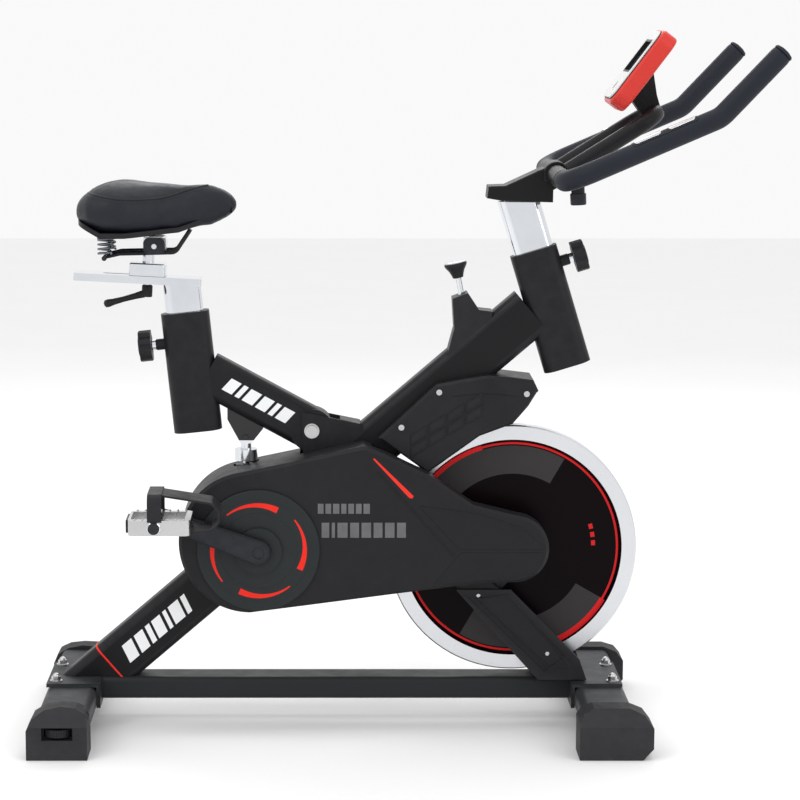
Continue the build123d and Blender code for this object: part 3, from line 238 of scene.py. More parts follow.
def flywheel_paint():
    """Turned silver rim, black web with grey sectors, a red ring with wide arcs, red dashes."""
    p = Paint("flywheel_paint", roughness=0.3, Specular_IOR_Level=0.06)
    radius, angle = radius_and_angle(p, WHEEL)
    metal = p.math("GREATER_THAN", radius, RIM_FROM)
    black = p.mix(p.noise(10), (0.0030, 0.0014, 0.0018), (0.0042, 0.0018, 0.0024))
    sectors, arcs = (
        p.math("ADD", *(between(p, angle, *ends) for ends in pair)) for pair in (SECTORS, ARCS)
    )
    grey = p.math("MULTIPLY", sectors, between(p, radius, *SECTOR_RING))
    face = p.mix(grey, black, (0.043, 0.040, 0.040))
    wide = p.math("MULTIPLY", arcs, between(p, radius, *ARC_RING))
    ring = p.math("MAXIMUM", between(p, radius, *LINE_RING), wide)
    face = p.mix(ring, face, (0.66, 0.02, 0.022))
    dashes = p.math("MULTIPLY", between(p, p.math("MODULO", angle, DASH_STEP), *DASH),
                    between(p, radius, *DASH_RING))
    mark = p.math("MULTIPLY", dashes, p.math("LESS_THAN", angle, DASHES_TO))
    face = p.mix(mark, face, (0.6, 0.02, 0.022))
    silver = p.mix(p.noise(7), (0.72, 0.73, 0.75), (0.66, 0.67, 0.70))
    p.colour(p.mix(metal, face, silver))
    p.link(metal, p.shader.inputs["Metallic"])
    p.rough(p.span(p.noise(40), 0.3, 0.7, 0.27, 0.32))
    rings = p.math("SINE", p.math("MULTIPLY", radius, 9000.0))
    p.bump(p.math("MULTIPLY", rings, metal), 0.000004, 0.2)
    return p.material


# the crank disc's red arcs (degrees and radii) and the two rings moulded in it
DISC_TURN, DISC_STEP, DISC_ARC = 25.0, 90.0, 66.0
DISC_INNER, DISC_TAPER, DISC_OUTER = 0.0665, 0.008, 0.0765
DISC_GROOVES = ((0.0805, 0.0825), (0.0600, 0.0615))


def disc_paint():
    """Charcoal disc with four tapering red arcs and two moulded rings."""
    p = Paint("disc_paint", roughness=0.42, Specular_IOR_Level=0.18)
    radius, angle = radius_and_angle(p, CRANK)
    part = p.math("MODULO", p.math("ADD", angle, DISC_TURN), DISC_STEP)
    reach = p.math("DIVIDE", part, DISC_ARC)
    inner = p.math("ADD", p.math("MULTIPLY", reach, DISC_TAPER), DISC_INNER)
    arc = p.math("MULTIPLY", between(p, radius, inner, DISC_OUTER),
                 p.math("LESS_THAN", part, DISC_ARC))
    base = p.mix(p.noise(16), (0.0170, 0.0200, 0.0215), (0.0215, 0.0250, 0.0265))
    p.colour(p.mix(arc, base, (0.80, 0.022, 0.012)))
    p.rough(p.span(p.noise(60), 0.3, 0.7, 0.36, 0.5))
    grooves = p.math("ADD", *(between(p, radius, *groove) for groove in DISC_GROOVES))
    p.bump(grooves, -0.0006, 1.0)
    p.bump(p.noise(1400, 2), 0.00015, 0.4)
    return p.material


def damper_paint(name, levels):
    """Black paint that turns to chrome between two heights."""
    p = Paint(name, roughness=0.2)
    axes = p.node("ShaderNodeSeparateXYZ")
    p.link(p.place, axes.inputs[0])
    metal = between(p, axes.outputs["Z"], *levels)
    black = p.mix(p.noise(20), (0.008, 0.008, 0.009), (0.014, 0.014, 0.015))
    p.colour(p.mix(metal, black, (0.72, 0.74, 0.77)))
    p.link(metal, p.shader.inputs["Metallic"])
    p.rough(p.span(metal, 0.0, 1.0, 0.4, 0.12))
    p.bump(p.noise(500, 3), 0.0001, 0.3)
    return p.material


FRAME = powder_coat("frame_black", (0.0078, 0.0078, 0.0088), (0.0100, 0.0100, 0.0112))
BASE = powder_coat("base_black", (0.0175, 0.0190, 0.0205), (0.0220, 0.0235, 0.0250), 0.45)
PLASTIC = moulded("black_plastic", (0.010, 0.010, 0.011), (0.018, 0.018, 0.020), 0.42)
COVER = moulded("cover_plastic", (0.0105, 0.0105, 0.0118), (0.0130, 0.0130, 0.0145), 0.44, 1100,
                0.00018)
FOOT = moulded("foot_plastic", (0.020, 0.020, 0.022), (0.026, 0.026, 0.028), 0.6, 800, 0.0004)
CHROME = plated("chrome_plate", (0.80, 0.82, 0.85), (0.66, 0.68, 0.72), 0.1)
ZINC = plated("zinc_plate", (0.62, 0.62, 0.62), (0.48, 0.48, 0.49), 0.24)
DARK_STEEL = powder_coat("dark_steel", (0.008, 0.009, 0.011), (0.018, 0.019, 0.023), 0.28)
SPRING_STEEL = plated("spring_steel", (0.25, 0.26, 0.28), (0.14, 0.15, 0.17), 0.26)
RUBBER = moulded("belt_rubber", (0.010, 0.010, 0.010), (0.018, 0.018, 0.018), 0.7, 500, 0.0004)
FELT = foam("pressed_felt", (0.30, 0.28, 0.23), (0.40, 0.37, 0.31))
GRIP = foam("grip_foam", (0.0100, 0.0122, 0.0195), (0.0140, 0.0168, 0.0250))
LEATHER = leather("saddle_leather", (0.0050, 0.0068, 0.0115), (0.0095, 0.0120, 0.0185))
PIPING = leather("piping_leather", (0.004, 0.005, 0.007), (0.009, 0.010, 0.014))
RED = moulded("console_red", (0.58, 0.035, 0.028), (0.66, 0.055, 0.042), 0.3, 1800, 0.0001)
STRIPE = moulded("red_stripe", (0.70, 0.018, 0.012), (0.78, 0.028, 0.018), 0.35, 1800, 0.00005)
WHITE = moulded("white_mark", (0.78, 0.79, 0.80), (0.86, 0.87, 0.88), 0.4, 1800, 0.00005)
GREY = moulded("grey_mark", (0.085, 0.085, 0.088), (0.11, 0.11, 0.115), 0.45, 1800, 0.00005)
BEZEL = moulded("bezel_grey", (0.60, 0.61, 0.60), (0.70, 0.71, 0.70), 0.35, 1500, 0.0001)
GLASS = moulded("screen_glass", (0.020, 0.023, 0.025), (0.028, 0.031, 0.034), 0.08, 300, 0.00001)

FINISH = {
    FRAME: "main_tube head_tube fork_legs beam_bracket seat_beam seat_sleeve stem console_loop",
    BASE: "base_tube stabilizers",
    PLASTIC: (
        "head_sleeve seat_bush fork_covers seat_knob head_knob brake_knob brake_boot"
        " cage_right cage_left saddle_base leveler_right leveler_left"
    ),
    COVER: "belt_cover_right belt_cover_left fender",
    FOOT: "rear_caps front_caps",
    CHROME: "seat_post handlebar_post seat_rail seat_slider brake_rod",
    ZINC: (
        "stabilizer_bolts pivot_bolt cover_screws pedal_right pedal_left flywheel_axle"
        " ball_bearings crank_pulley flywheel_pulley"
    ),
    DARK_STEEL: "crank_axle pedal_spindles crank_right crank_left seat_lever saddle_rails",
    SPRING_STEEL: "saddle_springs",
    RUBBER: "belt",
    FELT: "brake_pad",
    GRIP: "handle_right handle_left",
    LEATHER: "saddle_pad",
    RED: "console_housing console_button",
    GLASS: "console_screen",
    damper_paint("damper_head_finish", DAMPER_CHROME): "damper_head",
    damper_paint("damper_base_finish", DAMPER_GUIDE): "damper_base",
    flywheel_paint(): "flywheel",
    disc_paint(): "crank_disc",
}
for finish, names in FINISH.items():
    for name in names.split():
        NODES[name].data.materials.clear()
        NODES[name].data.materials.append(finish)

# ---- mesh helpers --------------------------------------------------------------------------
def piece(name, mesh, material, body, smooth=True):
    """Puts a mesh in the scene as a named piece that rides on a CAD body."""
    made = bpy.data.objects.new(name, mesh)
    bpy.context.scene.collection.objects.link(made)
    made.data.materials.append(material)
    for face in made.data.polygons:
        face.use_smooth = smooth
    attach(made, body)
    return made


def mesh_of(name, bm):
    """Turns bmesh work into a mesh whose faces look outwards."""
    bmesh.ops.recalc_face_normals(bm, faces=bm.faces)
    mesh = bpy.data.meshes.new(name)
    bm.to_mesh(mesh)
    bm.free()
    return mesh


def soften(made, width):
    """Rounds a piece's hard edges."""
    bevel = made.modifiers.new("edges", "BEVEL")
    bevel.width = width
    bevel.segments = 2
    bevel.limit_method = "ANGLE"
    bevel.angle_limit = math.radians(35)
    return made


def bridge(bm, rings, closed=False):
    """Joins rings of vertices; caps both ends unless the last ring meets the first."""
    pairs = list(zip(rings, rings[1:]))
    if closed:
        pairs.append((rings[-1], rings[0]))
    for lower, upper in pairs:
        for i in range(len(lower)):
            j = (i + 1) % len(lower)
            bm.faces.new((lower[i], lower[j], upper[j], upper[i]))
    if not closed:
        bm.faces.new(rings[0])
        bm.faces.new(rings[-1])


def rounded(length, width, corner, steps=8, shift=0.0):
    """Points of a rounded rectangle."""
    points = []
    for quadrant, (sx, sy) in enumerate(((1, 1), (-1, 1), (-1, -1), (1, -1))):
        for step in range(steps + 1):
            turn = math.radians(90 * quadrant + 90 * step / steps)
            points.append((
                shift + sx * (length / 2 - corner) + corner * math.cos(turn),
                sy * (width / 2 - corner) + corner * math.sin(turn),
            ))
    return points


def prism(name, outline, low, high, material, body, bevel=0.0):
    """A flat piece: an XZ outline carried from y=low to y=high."""
    bm = bmesh.new()
    bridge(bm, [[bm.verts.new((x, y, z)) for x, z in outline] for y in (low, high)])
    made = piece(name, mesh_of(name, bm), material, body, smooth=False)
    return soften(made, bevel) if bevel else made


def lathe(name, profile, origin, axis, material, body, steps=48, closed=False):
    """A turned piece: (radius, distance along the axis) pairs swept round the axis."""
    spin = axis.to_track_quat("Z", "Y").to_matrix().to_4x4()
    spin.translation = origin
    turns = [2 * math.pi * step / steps for step in range(steps)]
    bm = bmesh.new()
    rings = [[
        bm.verts.new(spin @ Vector((radius * math.cos(turn), radius * math.sin(turn), along)))
        for turn in turns
    ] for radius, along in profile]
    bridge(bm, rings, closed)
    made = piece(name, mesh_of(name, bm), material, body)
    made.data.set_sharp_from_angle(angle=math.radians(40))
    return made


def wire(name, points, radius, material, body, steps=6):
    """A round bar or bead along a smooth line."""
    curve = bpy.data.curves.new(name, "CURVE")
    curve.dimensions = "3D"
    curve.bevel_depth = radius
    curve.bevel_resolution = 4
    curve.resolution_u = steps
    curve.use_fill_caps = True
    line = curve.splines.new("NURBS")
    line.points.add(len(points) - 1)
    for control, point in zip(line.points, points):
        control.co = (*point, 1)
    line.order_u = 4
    line.use_endpoint_u = True
    made = bpy.data.objects.new(name, curve)
    bpy.context.scene.collection.objects.link(made)
    curve.materials.append(material)
    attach(made, body)
    return made


def frame_of(origin, along):
    """(start, along, up) of a decal's own axes in the XZ plane."""
    way = heading(along)
    return origin, way, Vector((-way.z, 0, way.x))


def marks(name, places, bars, face, material, body, depth):
    """Slanted bars (start, width, low, high, slant) laid on a face at y=face."""
    origin, way, up = places
    bm = bmesh.new()
    for start, width, low, high, slant in bars:
        corners = [
            origin + way * start + up * low,
            origin + way * (start + width) + up * low,
            origin + way * (start + width + slant) + up * high,
            origin + way * (start + slant) + up * high,
        ]
        bridge(bm, [[bm.verts.new((c.x, y, c.z)) for c in corners]
                    for y in (face - depth, face + depth)])
    return piece(name, mesh_of(name, bm), material, body, smooth=False)


# ---- camera, floor and light ---------------------------------------------------------------
camera_data = bpy.data.cameras.new("camera")
camera_data.lens = 114.3
camera_data.sensor_width = 36
camera_data.shift_x = 0.094
camera = bpy.data.objects.new("camera", camera_data)
camera.location = (-0.1163, -4.020, 1.1341)
camera.rotation_euler = (math.radians(81.38), 0, 0)
bpy.context.scene.collection.objects.link(camera)
bpy.context.scene.camera = camera

STUDIO = Paint("studio_floor", roughness=0.9)
STUDIO.colour(STUDIO.mix(STUDIO.noise(3), (0.90, 0.90, 0.90), (0.93, 0.93, 0.93)))
floor_bm = bmesh.new()
bmesh.ops.create_grid(floor_bm, x_segments=8, y_segments=8, size=9)
floor_mesh = bpy.data.meshes.new("floor")
floor_bm.to_mesh(floor_mesh)
floor_bm.free()
floor = bpy.data.objects.new("floor", floor_mesh)
floor.location.z = -0.0005
floor.data.materials.append(STUDIO.material)
bpy.context.scene.collection.objects.link(floor)

world = bpy.data.worlds.new("world")
world.use_nodes = True
world.node_tree.nodes["Background"].inputs["Color"].default_value = (1, 1, 1, 1)
world.node_tree.nodes["Background"].inputs["Strength"].default_value = 0.95
bpy.context.scene.world = world
bpy.context.scene.view_settings.view_transform = "Standard"


def lamp(name, place, target, size, power):
    """A rectangular area light aimed at a point."""
    data = bpy.data.lights.new(name, "AREA")
    data.shape = "RECTANGLE"
    data.size, data.size_y = size
    data.energy = power
    made = bpy.data.objects.new(name, data)
    made.location = place
    made.rotation_euler = (Vector(target) - Vector(place)).to_track_quat("-Z", "Y").to_euler()
    bpy.context.scene.collection.objects.link(made)


lamp("key", (-2.4, -2.6, 3.2), (0, 0, 0.5), (2.0, 2.0), 34)
lamp("fill", (2.8, -2.4, 2.2), (0, 0, 0.5), (1.6, 2.2), 20)
lamp("back", (0.3, 2.8, 2.6), (0, 0, 0.6), (2.6, 1.2), 26)
lamp("top", (0, 0, 3.4), (0, 0, 0.4), (2.2, 1.2), 16)


# ---- saddle --------------------------------------------------------------------------------
SADDLE_TOP = (
    (-0.511, 0.829), (-0.506, 0.846), (-0.496, 0.859), (-0.480, 0.870), (-0.460, 0.876),
    (-0.439, 0.878), (-0.390, 0.871), (-0.334, 0.866), (-0.293, 0.869), (-0.275, 0.865),
    (-0.262, 0.858), (-0.250, 0.843),
)
SADDLE_BOTTOM = (
    (-0.511, 0.829), (-0.506, 0.817), (-0.492, 0.803), (-0.466, 0.791), (-0.428, 0.789),
    (-0.385, 0.791), (-0.346, 0.796), (-0.292, 0.813), (-0.267, 0.823), (-0.257, 0.831),
    (-0.250, 0.843),
)
SADDLE_HALF_WIDTH = (
    (-0.511, 0.030), (-0.503, 0.056), (-0.486, 0.080), (-0.455, 0.091), (-0.430, 0.091),
    (-0.395, 0.074), (-0.360, 0.052), (-0.325, 0.034), (-0.290, 0.026), (-0.265, 0.022),
    (-0.250, 0.010),
)
WAIST_SHARE, THINNEST, BOTTOM_DROP = 0.48, 0.004, 0.0030
DISH_X, DISH_REACH, DISH_DEPTH = -0.44, 0.07, 0.007
ARCH_X, ARCH_REACH, ARCH_HEIGHT = -0.40, 0.10, 0.017


def along_line(line, x):
    """A line's second value at x, eased a little at each of the line's points."""
    for (x0, v0), (x1, v1) in zip(line, line[1:]):
        if x <= x1:
            t = (x - x0) / (x1 - x0)
            t = t * t * (3 - 2 * t) * 0.35 + t * 0.65
            return v0 + (v1 - v0) * t
    return line[-1][1]


def fade(distance, reach):
    """1 at no distance, falling evenly to 0 at reach and beyond."""
    return max(0.0, 1 - abs(distance) / reach)


def saddle_blank(inset):
    """The saddle's closed form, slightly small: rings along X, wide behind, narrow in front."""
    bm = bmesh.new()
    rings = []
    stations, steps = 44, 40
    first, last = SADDLE_TOP[0][0] + inset, SADDLE_TOP[-1][0] - inset
    for i in range(stations + 1):
        share = 0.5 - 0.5 * math.cos(math.pi * i / stations)
        x = first + (last - first) * share
        bottom = along_line(SADDLE_BOTTOM, x) - BOTTOM_DROP
        top = max(along_line(SADDLE_TOP, x) - inset, bottom + THINNEST)
        half = max(along_line(SADDLE_HALF_WIDTH, x) - inset, THINNEST)
        waist = bottom + (top - bottom) * WAIST_SHARE
        dish = DISH_DEPTH * fade(x - DISH_X, DISH_REACH)
        arch = fade(x - ARCH_X, ARCH_REACH) ** 0.5
        ring = []
        for step in range(steps):
            turn = 2 * math.pi * step / steps
            c, d = math.cos(turn), math.sin(turn)
            y = half * math.copysign(abs(c) ** 0.8, c)
            if d >= 0:
                z = waist + (top - waist) * d ** 0.75 - dish * fade(y, half * 0.5) ** 1.5
            else:
                z = waist - (waist - bottom) * (-d) ** 0.62
                z += ARCH_HEIGHT * fade(y, half * 0.72) ** 0.5 * arch
                y *= 1 - 0.16 * (-d) ** 1.8
            ring.append(bm.verts.new((x, y, z)))
        rings.append(ring)
    bridge(bm, rings)
    return mesh_of("saddle_blank", bm)


def crowned(name, mesh, material, body, voxel, pressure, cap):
    """Swells a closed blank into a padded form with a cloth simulation.

    No point moves farther than cap.
    """
    made = piece(name, mesh, material, body)
    bpy.context.view_layer.objects.active = made
    for other in bpy.context.selected_objects:
        other.select_set(False)
    made.select_set(True)
    remesh = made.modifiers.new("remesh", "REMESH")
    remesh.mode = "VOXEL"
    remesh.voxel_size = voxel
    bpy.ops.object.modifier_apply(modifier="remesh")
    rest = [v.co.copy() for v in made.data.vertices]
    cloth = made.modifiers.new("cloth", "CLOTH")
    cloth.settings.quality = 6
    cloth.settings.use_pressure = True
    cloth.settings.uniform_pressure_force = pressure
    cloth.settings.effector_weights.gravity = 0
    for moment in range(1, 21):
        bpy.context.scene.frame_set(moment)
    depsgraph = bpy.context.evaluated_depsgraph_get()
    swollen = [v.co.copy() for v in made.evaluated_get(depsgraph).data.vertices]
    made.modifiers.remove(cloth)
    for vertex, before, after in zip(made.data.vertices, rest, swollen):
        move = after - before
        if move.length > cap:
            move *= cap / move.length
        vertex.co = before + move
    bpy.context.scene.frame_set(1)
    for kind, settings in (("SMOOTH", {"factor": 0.6, "iterations": 5}),
                           ("SUBSURF", {"levels": 1})):
        step = made.modifiers.new(kind.lower(), kind)
        for key, value in settings.items():
            setattr(step, key, value)
        bpy.ops.object.modifier_apply(modifier=step.name)
    for face in made.data.polygons:
        face.use_smooth = True
    return made


cushion = crowned("saddle_cushion", saddle_blank(0.003), LEATHER, "saddle",
                  voxel=0.005, pressure=4.0, cap=0.005)
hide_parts("saddle_pad")


def skin_points(made, heights, side, steps):
    """(point, normal) pairs on a piece's side, at the heights an (x, z) line gives."""
    found = []
    for i in range(steps + 1):
        t = i / steps * (len(heights) - 1)
        j = min(int(t), len(heights) - 2)
        x, z = Vector(heights[j]).lerp(Vector(heights[j + 1]), t - j)
        hit, place, normal, _ = made.ray_cast(Vector((x, side * 0.3, z)), Vector((0, -side, 0)))
        if hit:
            found.append((place, normal))
    return found


SEAM = (
    (-0.494, 0.860), (-0.478, 0.8575), (-0.460, 0.8545), (-0.436, 0.851), (-0.405, 0.8495),
    (-0.374, 0.8505), (-0.353, 0.855), (-0.330, 0.8625), (-0.305, 0.868), (-0.280, 0.868),
    (-0.262, 0.860),
)
PIPING_RADIUS, PIPING_SUNK = 0.0019, 0.0006
STITCH_DROP, STITCH_SHARE, STITCH_HALF, STITCH_LIFT = 0.0052, 0.62, 0.00035, 0.0005
for label, side in SIDES:
    hits = skin_points(cushion, SEAM, side, 44)
    wire(f"saddle_piping_{label}", [p - n * PIPING_SUNK for p, n in hits], PIPING_RADIUS,
         PIPING, "saddle")
    threads = skin_points(cushion, [(x, z - STITCH_DROP) for x, z in SEAM], side, 132)
    bm = bmesh.new()
    for (first, normal), (second, _) in list(zip(threads, threads[1:]))[::2]:
        along = (second - first) * STITCH_SHARE
        side_way = normal.cross(along).normalized() * STITCH_HALF
        lift = normal * STITCH_LIFT
        base = [first - side_way, first + side_way,
                first + along + side_way, first + along - side_way]
        bridge(bm, [[bm.verts.new(p + rise) for p in base] for rise in (lift * -0.6, lift)])
    piece(f"saddle_stitches_{label}", mesh_of("stitches", bm), PIPING, "saddle")

# coil springs under the saddle, with a flat turn at each end
SPRING_Y, COIL_TURNS, COIL_RADIUS, COIL_GAUGE = 0.042, 4.5, 0.0102, 0.0018
FLAT_SHARE, POINTS_PER_TURN = 0.12, 14
spring_low, spring_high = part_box("saddle_springs")
bottom, top = spring_low.z + COIL_GAUGE, spring_high.z - COIL_GAUGE
for label, side in SIDES:
    middle = Vector(((spring_low.x + spring_high.x) / 2, side * SPRING_Y, 0))
    count = int(COIL_TURNS * POINTS_PER_TURN)
    coil = []
    for i in range(count + 1):
        t = i / count
        angle = 2 * math.pi * COIL_TURNS * t
        climbed = min(max((t - FLAT_SHARE) / (1 - 2 * FLAT_SHARE), 0), 1)
        coil.append(middle + Vector((COIL_RADIUS * math.cos(angle), COIL_RADIUS * math.sin(angle),
                                     bottom + (top - bottom) * climbed)))
    wire(f"saddle_coil_{label}", coil, COIL_GAUGE, SPRING_STEEL, "saddle", steps=3)
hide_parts("saddle_springs")

# ---- marks and mouldings on the covers and tubes -------------------------------------------
SUNK = 0.0005  # how far the mouldings on the cover reach into it
small_bars = [(x, width, 0.0, 0.016, 0.0) for x, width in (
    (0.000, 0.009), (0.012, 0.009), (0.024, 0.010), (0.037, 0.008), (0.048, 0.009),
    (0.060, 0.009), (0.072, 0.010),
)]
large_bars = [(x, width, -0.0386, -0.0144, 0.0) for x, width in (
    (0.006, 0.012), (0.022, 0.005), (0.031, 0.016), (0.051, 0.014), (0.069, 0.015),
    (0.088, 0.014), (0.106, 0.015), (0.125, 0.014),
)]
marks("cover_bars", frame_of(Vector((-0.1273, 0, 0.3567)), 0.0), small_bars + large_bars,
      COVER_FACE, GREY, "frame", 0.0003)
for name, proud, finish, bevel, outline in (
    ("cover_stripe", 0.0005, STRIPE, 0.0, (
        (-0.0405, 0.4440), (-0.0385, 0.4455), (0.0235, 0.3850), (0.0215, 0.3810),
        (0.0165, 0.3822),
    )),
    ("cover_rib", 0.0012, COVER, 0.0004, (
        (-0.0330, 0.4230), (-0.0318, 0.4240), (0.0046, 0.3829), (0.0888, 0.2890),
        (0.0874, 0.2879), (0.0030, 0.3818),
    )),
    ("cover_facet", 0.0014, COVER, 0.0010, (
        (0.0960, 0.2995), (0.0330, 0.3690), (0.0838, 0.3625), (0.1279, 0.3560),
        (0.1944, 0.3340), (0.2290, 0.3045), (0.2290, 0.2995),
    )),
    ("cover_lower_facet", 0.0010, COVER, 0.0009, (
        (0.1000, 0.2940), (0.2300, 0.2940), (0.2250, 0.2710), (0.2050, 0.2570),
        (0.1500, 0.2500), (0.0560, 0.2430),
    )),
):
    prism(name, outline, COVER_FACE - proud, COVER_FACE + SUNK, finish, "frame", bevel)

# a red band round the foot of the main tube
TUBE_WIDTH, TUBE_DEPTH, TUBE_CORNER = 0.048, 0.080, 0.014
BAND_BACK, BAND_WIDTH, BAND_PROUD, BAND_SUNK = 0.316, 0.0030, 0.0007, -0.0003
tube_place = frame_of(CRANK, MAIN_ANGLE)
start, along, up = tube_place
foot_band = start - along * BAND_BACK
band = bmesh.new()
loops = []
for shift, grown in ((0.0, BAND_PROUD), (BAND_WIDTH, BAND_PROUD),
                     (BAND_WIDTH, BAND_SUNK), (0.0, BAND_SUNK)):
    outline = rounded(TUBE_WIDTH + 2 * grown, TUBE_DEPTH + 2 * grown, TUBE_CORNER, 4)
    loops.append([band.verts.new(foot_band + along * shift + up * d + Vector((0, y, 0)))
                  for y, d in outline])
bridge(band, loops, closed=True)
piece("tube_band", mesh_of("tube_band", band), STRIPE, "frame")

tube_bars = [(-0.289 + x, width, -0.0150, 0.0150, 0.008) for x, width in (
    (0.000, 0.020), (0.0255, 0.018), (0.049, 0.009), (0.0625, 0.018), (0.086, 0.007),
    (0.098, 0.021), (0.124, 0.009),
)]
marks("tube_bars", tube_place, tube_bars, TUBE_FACE, WHITE, "frame", 0.0004)
beam_bars = [(-0.158 + x, width, -0.0100, 0.0130, 0.006) for x, width in (
    (0.000, 0.018), (0.023, 0.008), (0.036, 0.019), (0.060, 0.018), (0.083, 0.008),
    (0.096, 0.019),
)]
marks("beam_bars", frame_of(PIVOT, BEAM_ANGLE), beam_bars, BEAM_FACE, WHITE, "seat_beam", 0.0004)

# two rows of slanted plates on the fender, each with a smaller plate on it
PLATE_STEP, PLATE_RISE, PLATE_SHIFT = 0.034, 0.017, 0.010
PLATE_LENGTH, PLATE_HEIGHT, PLATE_SLANT = 0.031, 0.0145, 0.009
fender_place = frame_of(Vector((0.0186, 0, 0.4405)), math.radians(31))
fender_plates = []
for column in range(4):
    for row in range(2):
        low = -0.002 + PLATE_RISE * row
        fender_plates.append((PLATE_STEP * column + PLATE_SHIFT * row, PLATE_LENGTH,
                              low, low + PLATE_HEIGHT, PLATE_SLANT))
inner_plates = [(start + 0.0045, width - 0.007, low + 0.003, high - 0.003, slant * 0.6)
                for start, width, low, high, slant in fender_plates]
soften(marks("fender_plates", fender_place, fender_plates, FENDER_FACE, COVER, "frame", 0.0012),
       0.0006)
soften(marks("fender_insets", fender_place, inner_plates, FENDER_FACE, PLASTIC, "frame", 0.0016),
       0.0005)
wire("fender_crease", [(x, FENDER_FACE, z) for x, z in (
    (0.0846, 0.5368), (0.105, 0.540), (0.132, 0.5416), (0.160, 0.5416), (0.186, 0.537),
)], 0.0009, COVER, "frame")

# ---- pedals --------------------------------------------------------------------------------
PEDAL_RING = (
    (0.0066, -0.0010), (0.0066, 0.0016), (0.0088, 0.0020), (0.0104, 0.0010), (0.0106, -0.0010),
)
PEDAL_PIN = ((0.0016, -0.0010), (0.0016, 0.0012), (0.0008, 0.0024))
PIN_COUNT, PIN_END_GAP, PIN_EDGE_GAP = 7, 0.010, 0.0035
REFLECTOR_SUNK = 0.0010
# a reflector's half length, inset from the pedal's top and bottom, stand-off and finish
REFLECTOR = {"case": (0.026, 0.0020, 0.0040, PLASTIC), "lens": (0.023, 0.0042, 0.0046, BEZEL)}
for label, centre, side in (("right", RIGHT_PEDAL, -1), ("left", LEFT_PEDAL, 1)):
    body = f"{label}_pedal"
    low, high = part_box(f"pedal_{label}")
    edge = low.y if side < 0 else high.y
    lathe(f"pedal_bearing_{label}", PEDAL_RING, Vector((centre.x, edge, centre.z)),
          Vector((0, side, 0)), CHROME, body, closed=True)
    middle = (low.y + high.y) / 2
    for tail, (half, inset, proud, finish) in REFLECTOR.items():
        outer, inner = low.x - proud, low.x + REFLECTOR_SUNK
        bottom, top = low.z + inset, high.z - inset
        prism(f"pedal_reflector_{tail}_{label}",
              [(outer, bottom), (inner, bottom), (inner, top), (outer, top)],
              middle - half, middle + half, finish, body, 0.0006)
    pin_step = (high.x - low.x - 2 * PIN_END_GAP) / (PIN_COUNT - 1)
    for number in range(PIN_COUNT):
        x = low.x + PIN_END_GAP + number * pin_step
        for row, y in enumerate((low.y + PIN_EDGE_GAP, high.y - PIN_EDGE_GAP)):
            lathe(f"pedal_pin_{label}_{row}_{number}", PEDAL_PIN, Vector((x, y, high.z)),
                  Vector((0, 0, 1)), ZINC, body, steps=12)

# ---- seat lever ----------------------------------------------------------------------------
lever_at = Vector(JOINTS["seat_lever_turn"]["pos_m"])
lever_up = Vector(JOINTS["seat_lever_turn"]["axis"])
boss = lathe("lever_boss", [
    (0.0078, -0.0105), (0.0085, -0.0095), (0.0085, 0.0065), (0.0075, 0.0082), (0.0060, 0.0086),
], lever_at, lever_up, PLASTIC, "seat_lever")
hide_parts("seat_lever")
tip = lever_at + Vector((-0.062, -0.022, -0.0190))
root = lever_at - lever_up * 0.0045
length = (tip - root).length
lathe("lever_handle", [
    (0.0030, 0.002), (0.0062, 0.006), (0.0050, 0.020), (0.0044, length * 0.6),
    (0.0052, length * 0.85), (0.0064, length * 0.96), (0.0058, length * 1.04),
    (0.0030, length * 1.07), (0.0006, length * 1.075),
], root, (tip - root).normalized(), PLASTIC, "seat_lever")

# ---- fork covers ---------------------------------------------------------------------------
FORK_FACE = 0.053
SCREW = (
    (0.0034, -0.0005), (0.0034, 0.0008), (0.0026, 0.0016), (0.0012, 0.0017), (0.0010, 0.0006),
    (0.0002, 0.0006),
)
SCREW_PLACES = ((0.1290, 0.2170), (0.2405, 0.1210))
INSET = ((0.1250, 0.2110), (0.1776, 0.2190), (0.2790, 0.0990), (0.2450, 0.0965))
for label, side in SIDES:
    for number, (x, z) in enumerate(SCREW_PLACES):
        lathe(f"fork_screw_{label}_{number}", SCREW, Vector((x, side * FORK_FACE, z)),
              Vector((0, side, 0)), ZINC, "frame", steps=24)
for label, side in SIDES:
    for number, ends in enumerate(zip(INSET, INSET[1:] + INSET[:1])):
        wire(f"fork_inset_{label}_{number}", [(x, side * FORK_FACE, z) for x, z in ends],
             0.0008, PLASTIC, "frame")

# ---- knobs and brake -----------------------------------------------------------------------
brake_at = Vector(JOINTS["brake_turn"]["pos_m"])
knob = lathe("brake_grip", [
    (0.0062, -0.0060), (0.0085, -0.0052), (0.0095, -0.0010), (0.0125, 0.0060), (0.0172, 0.0130),
    (0.0182, 0.0158), (0.0178, 0.0180), (0.0168, 0.0186),
], brake_at, BRAKE_OUT, PLASTIC, "brake_knob")
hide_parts("brake_knob")
lathe("brake_cap", [
    (0.0164, 0.0182), (0.0164, 0.0196), (0.0155, 0.0203), (0.0060, 0.0210), (0.0012, 0.0211),
], brake_at, BRAKE_OUT, ZINC, "brake_knob")

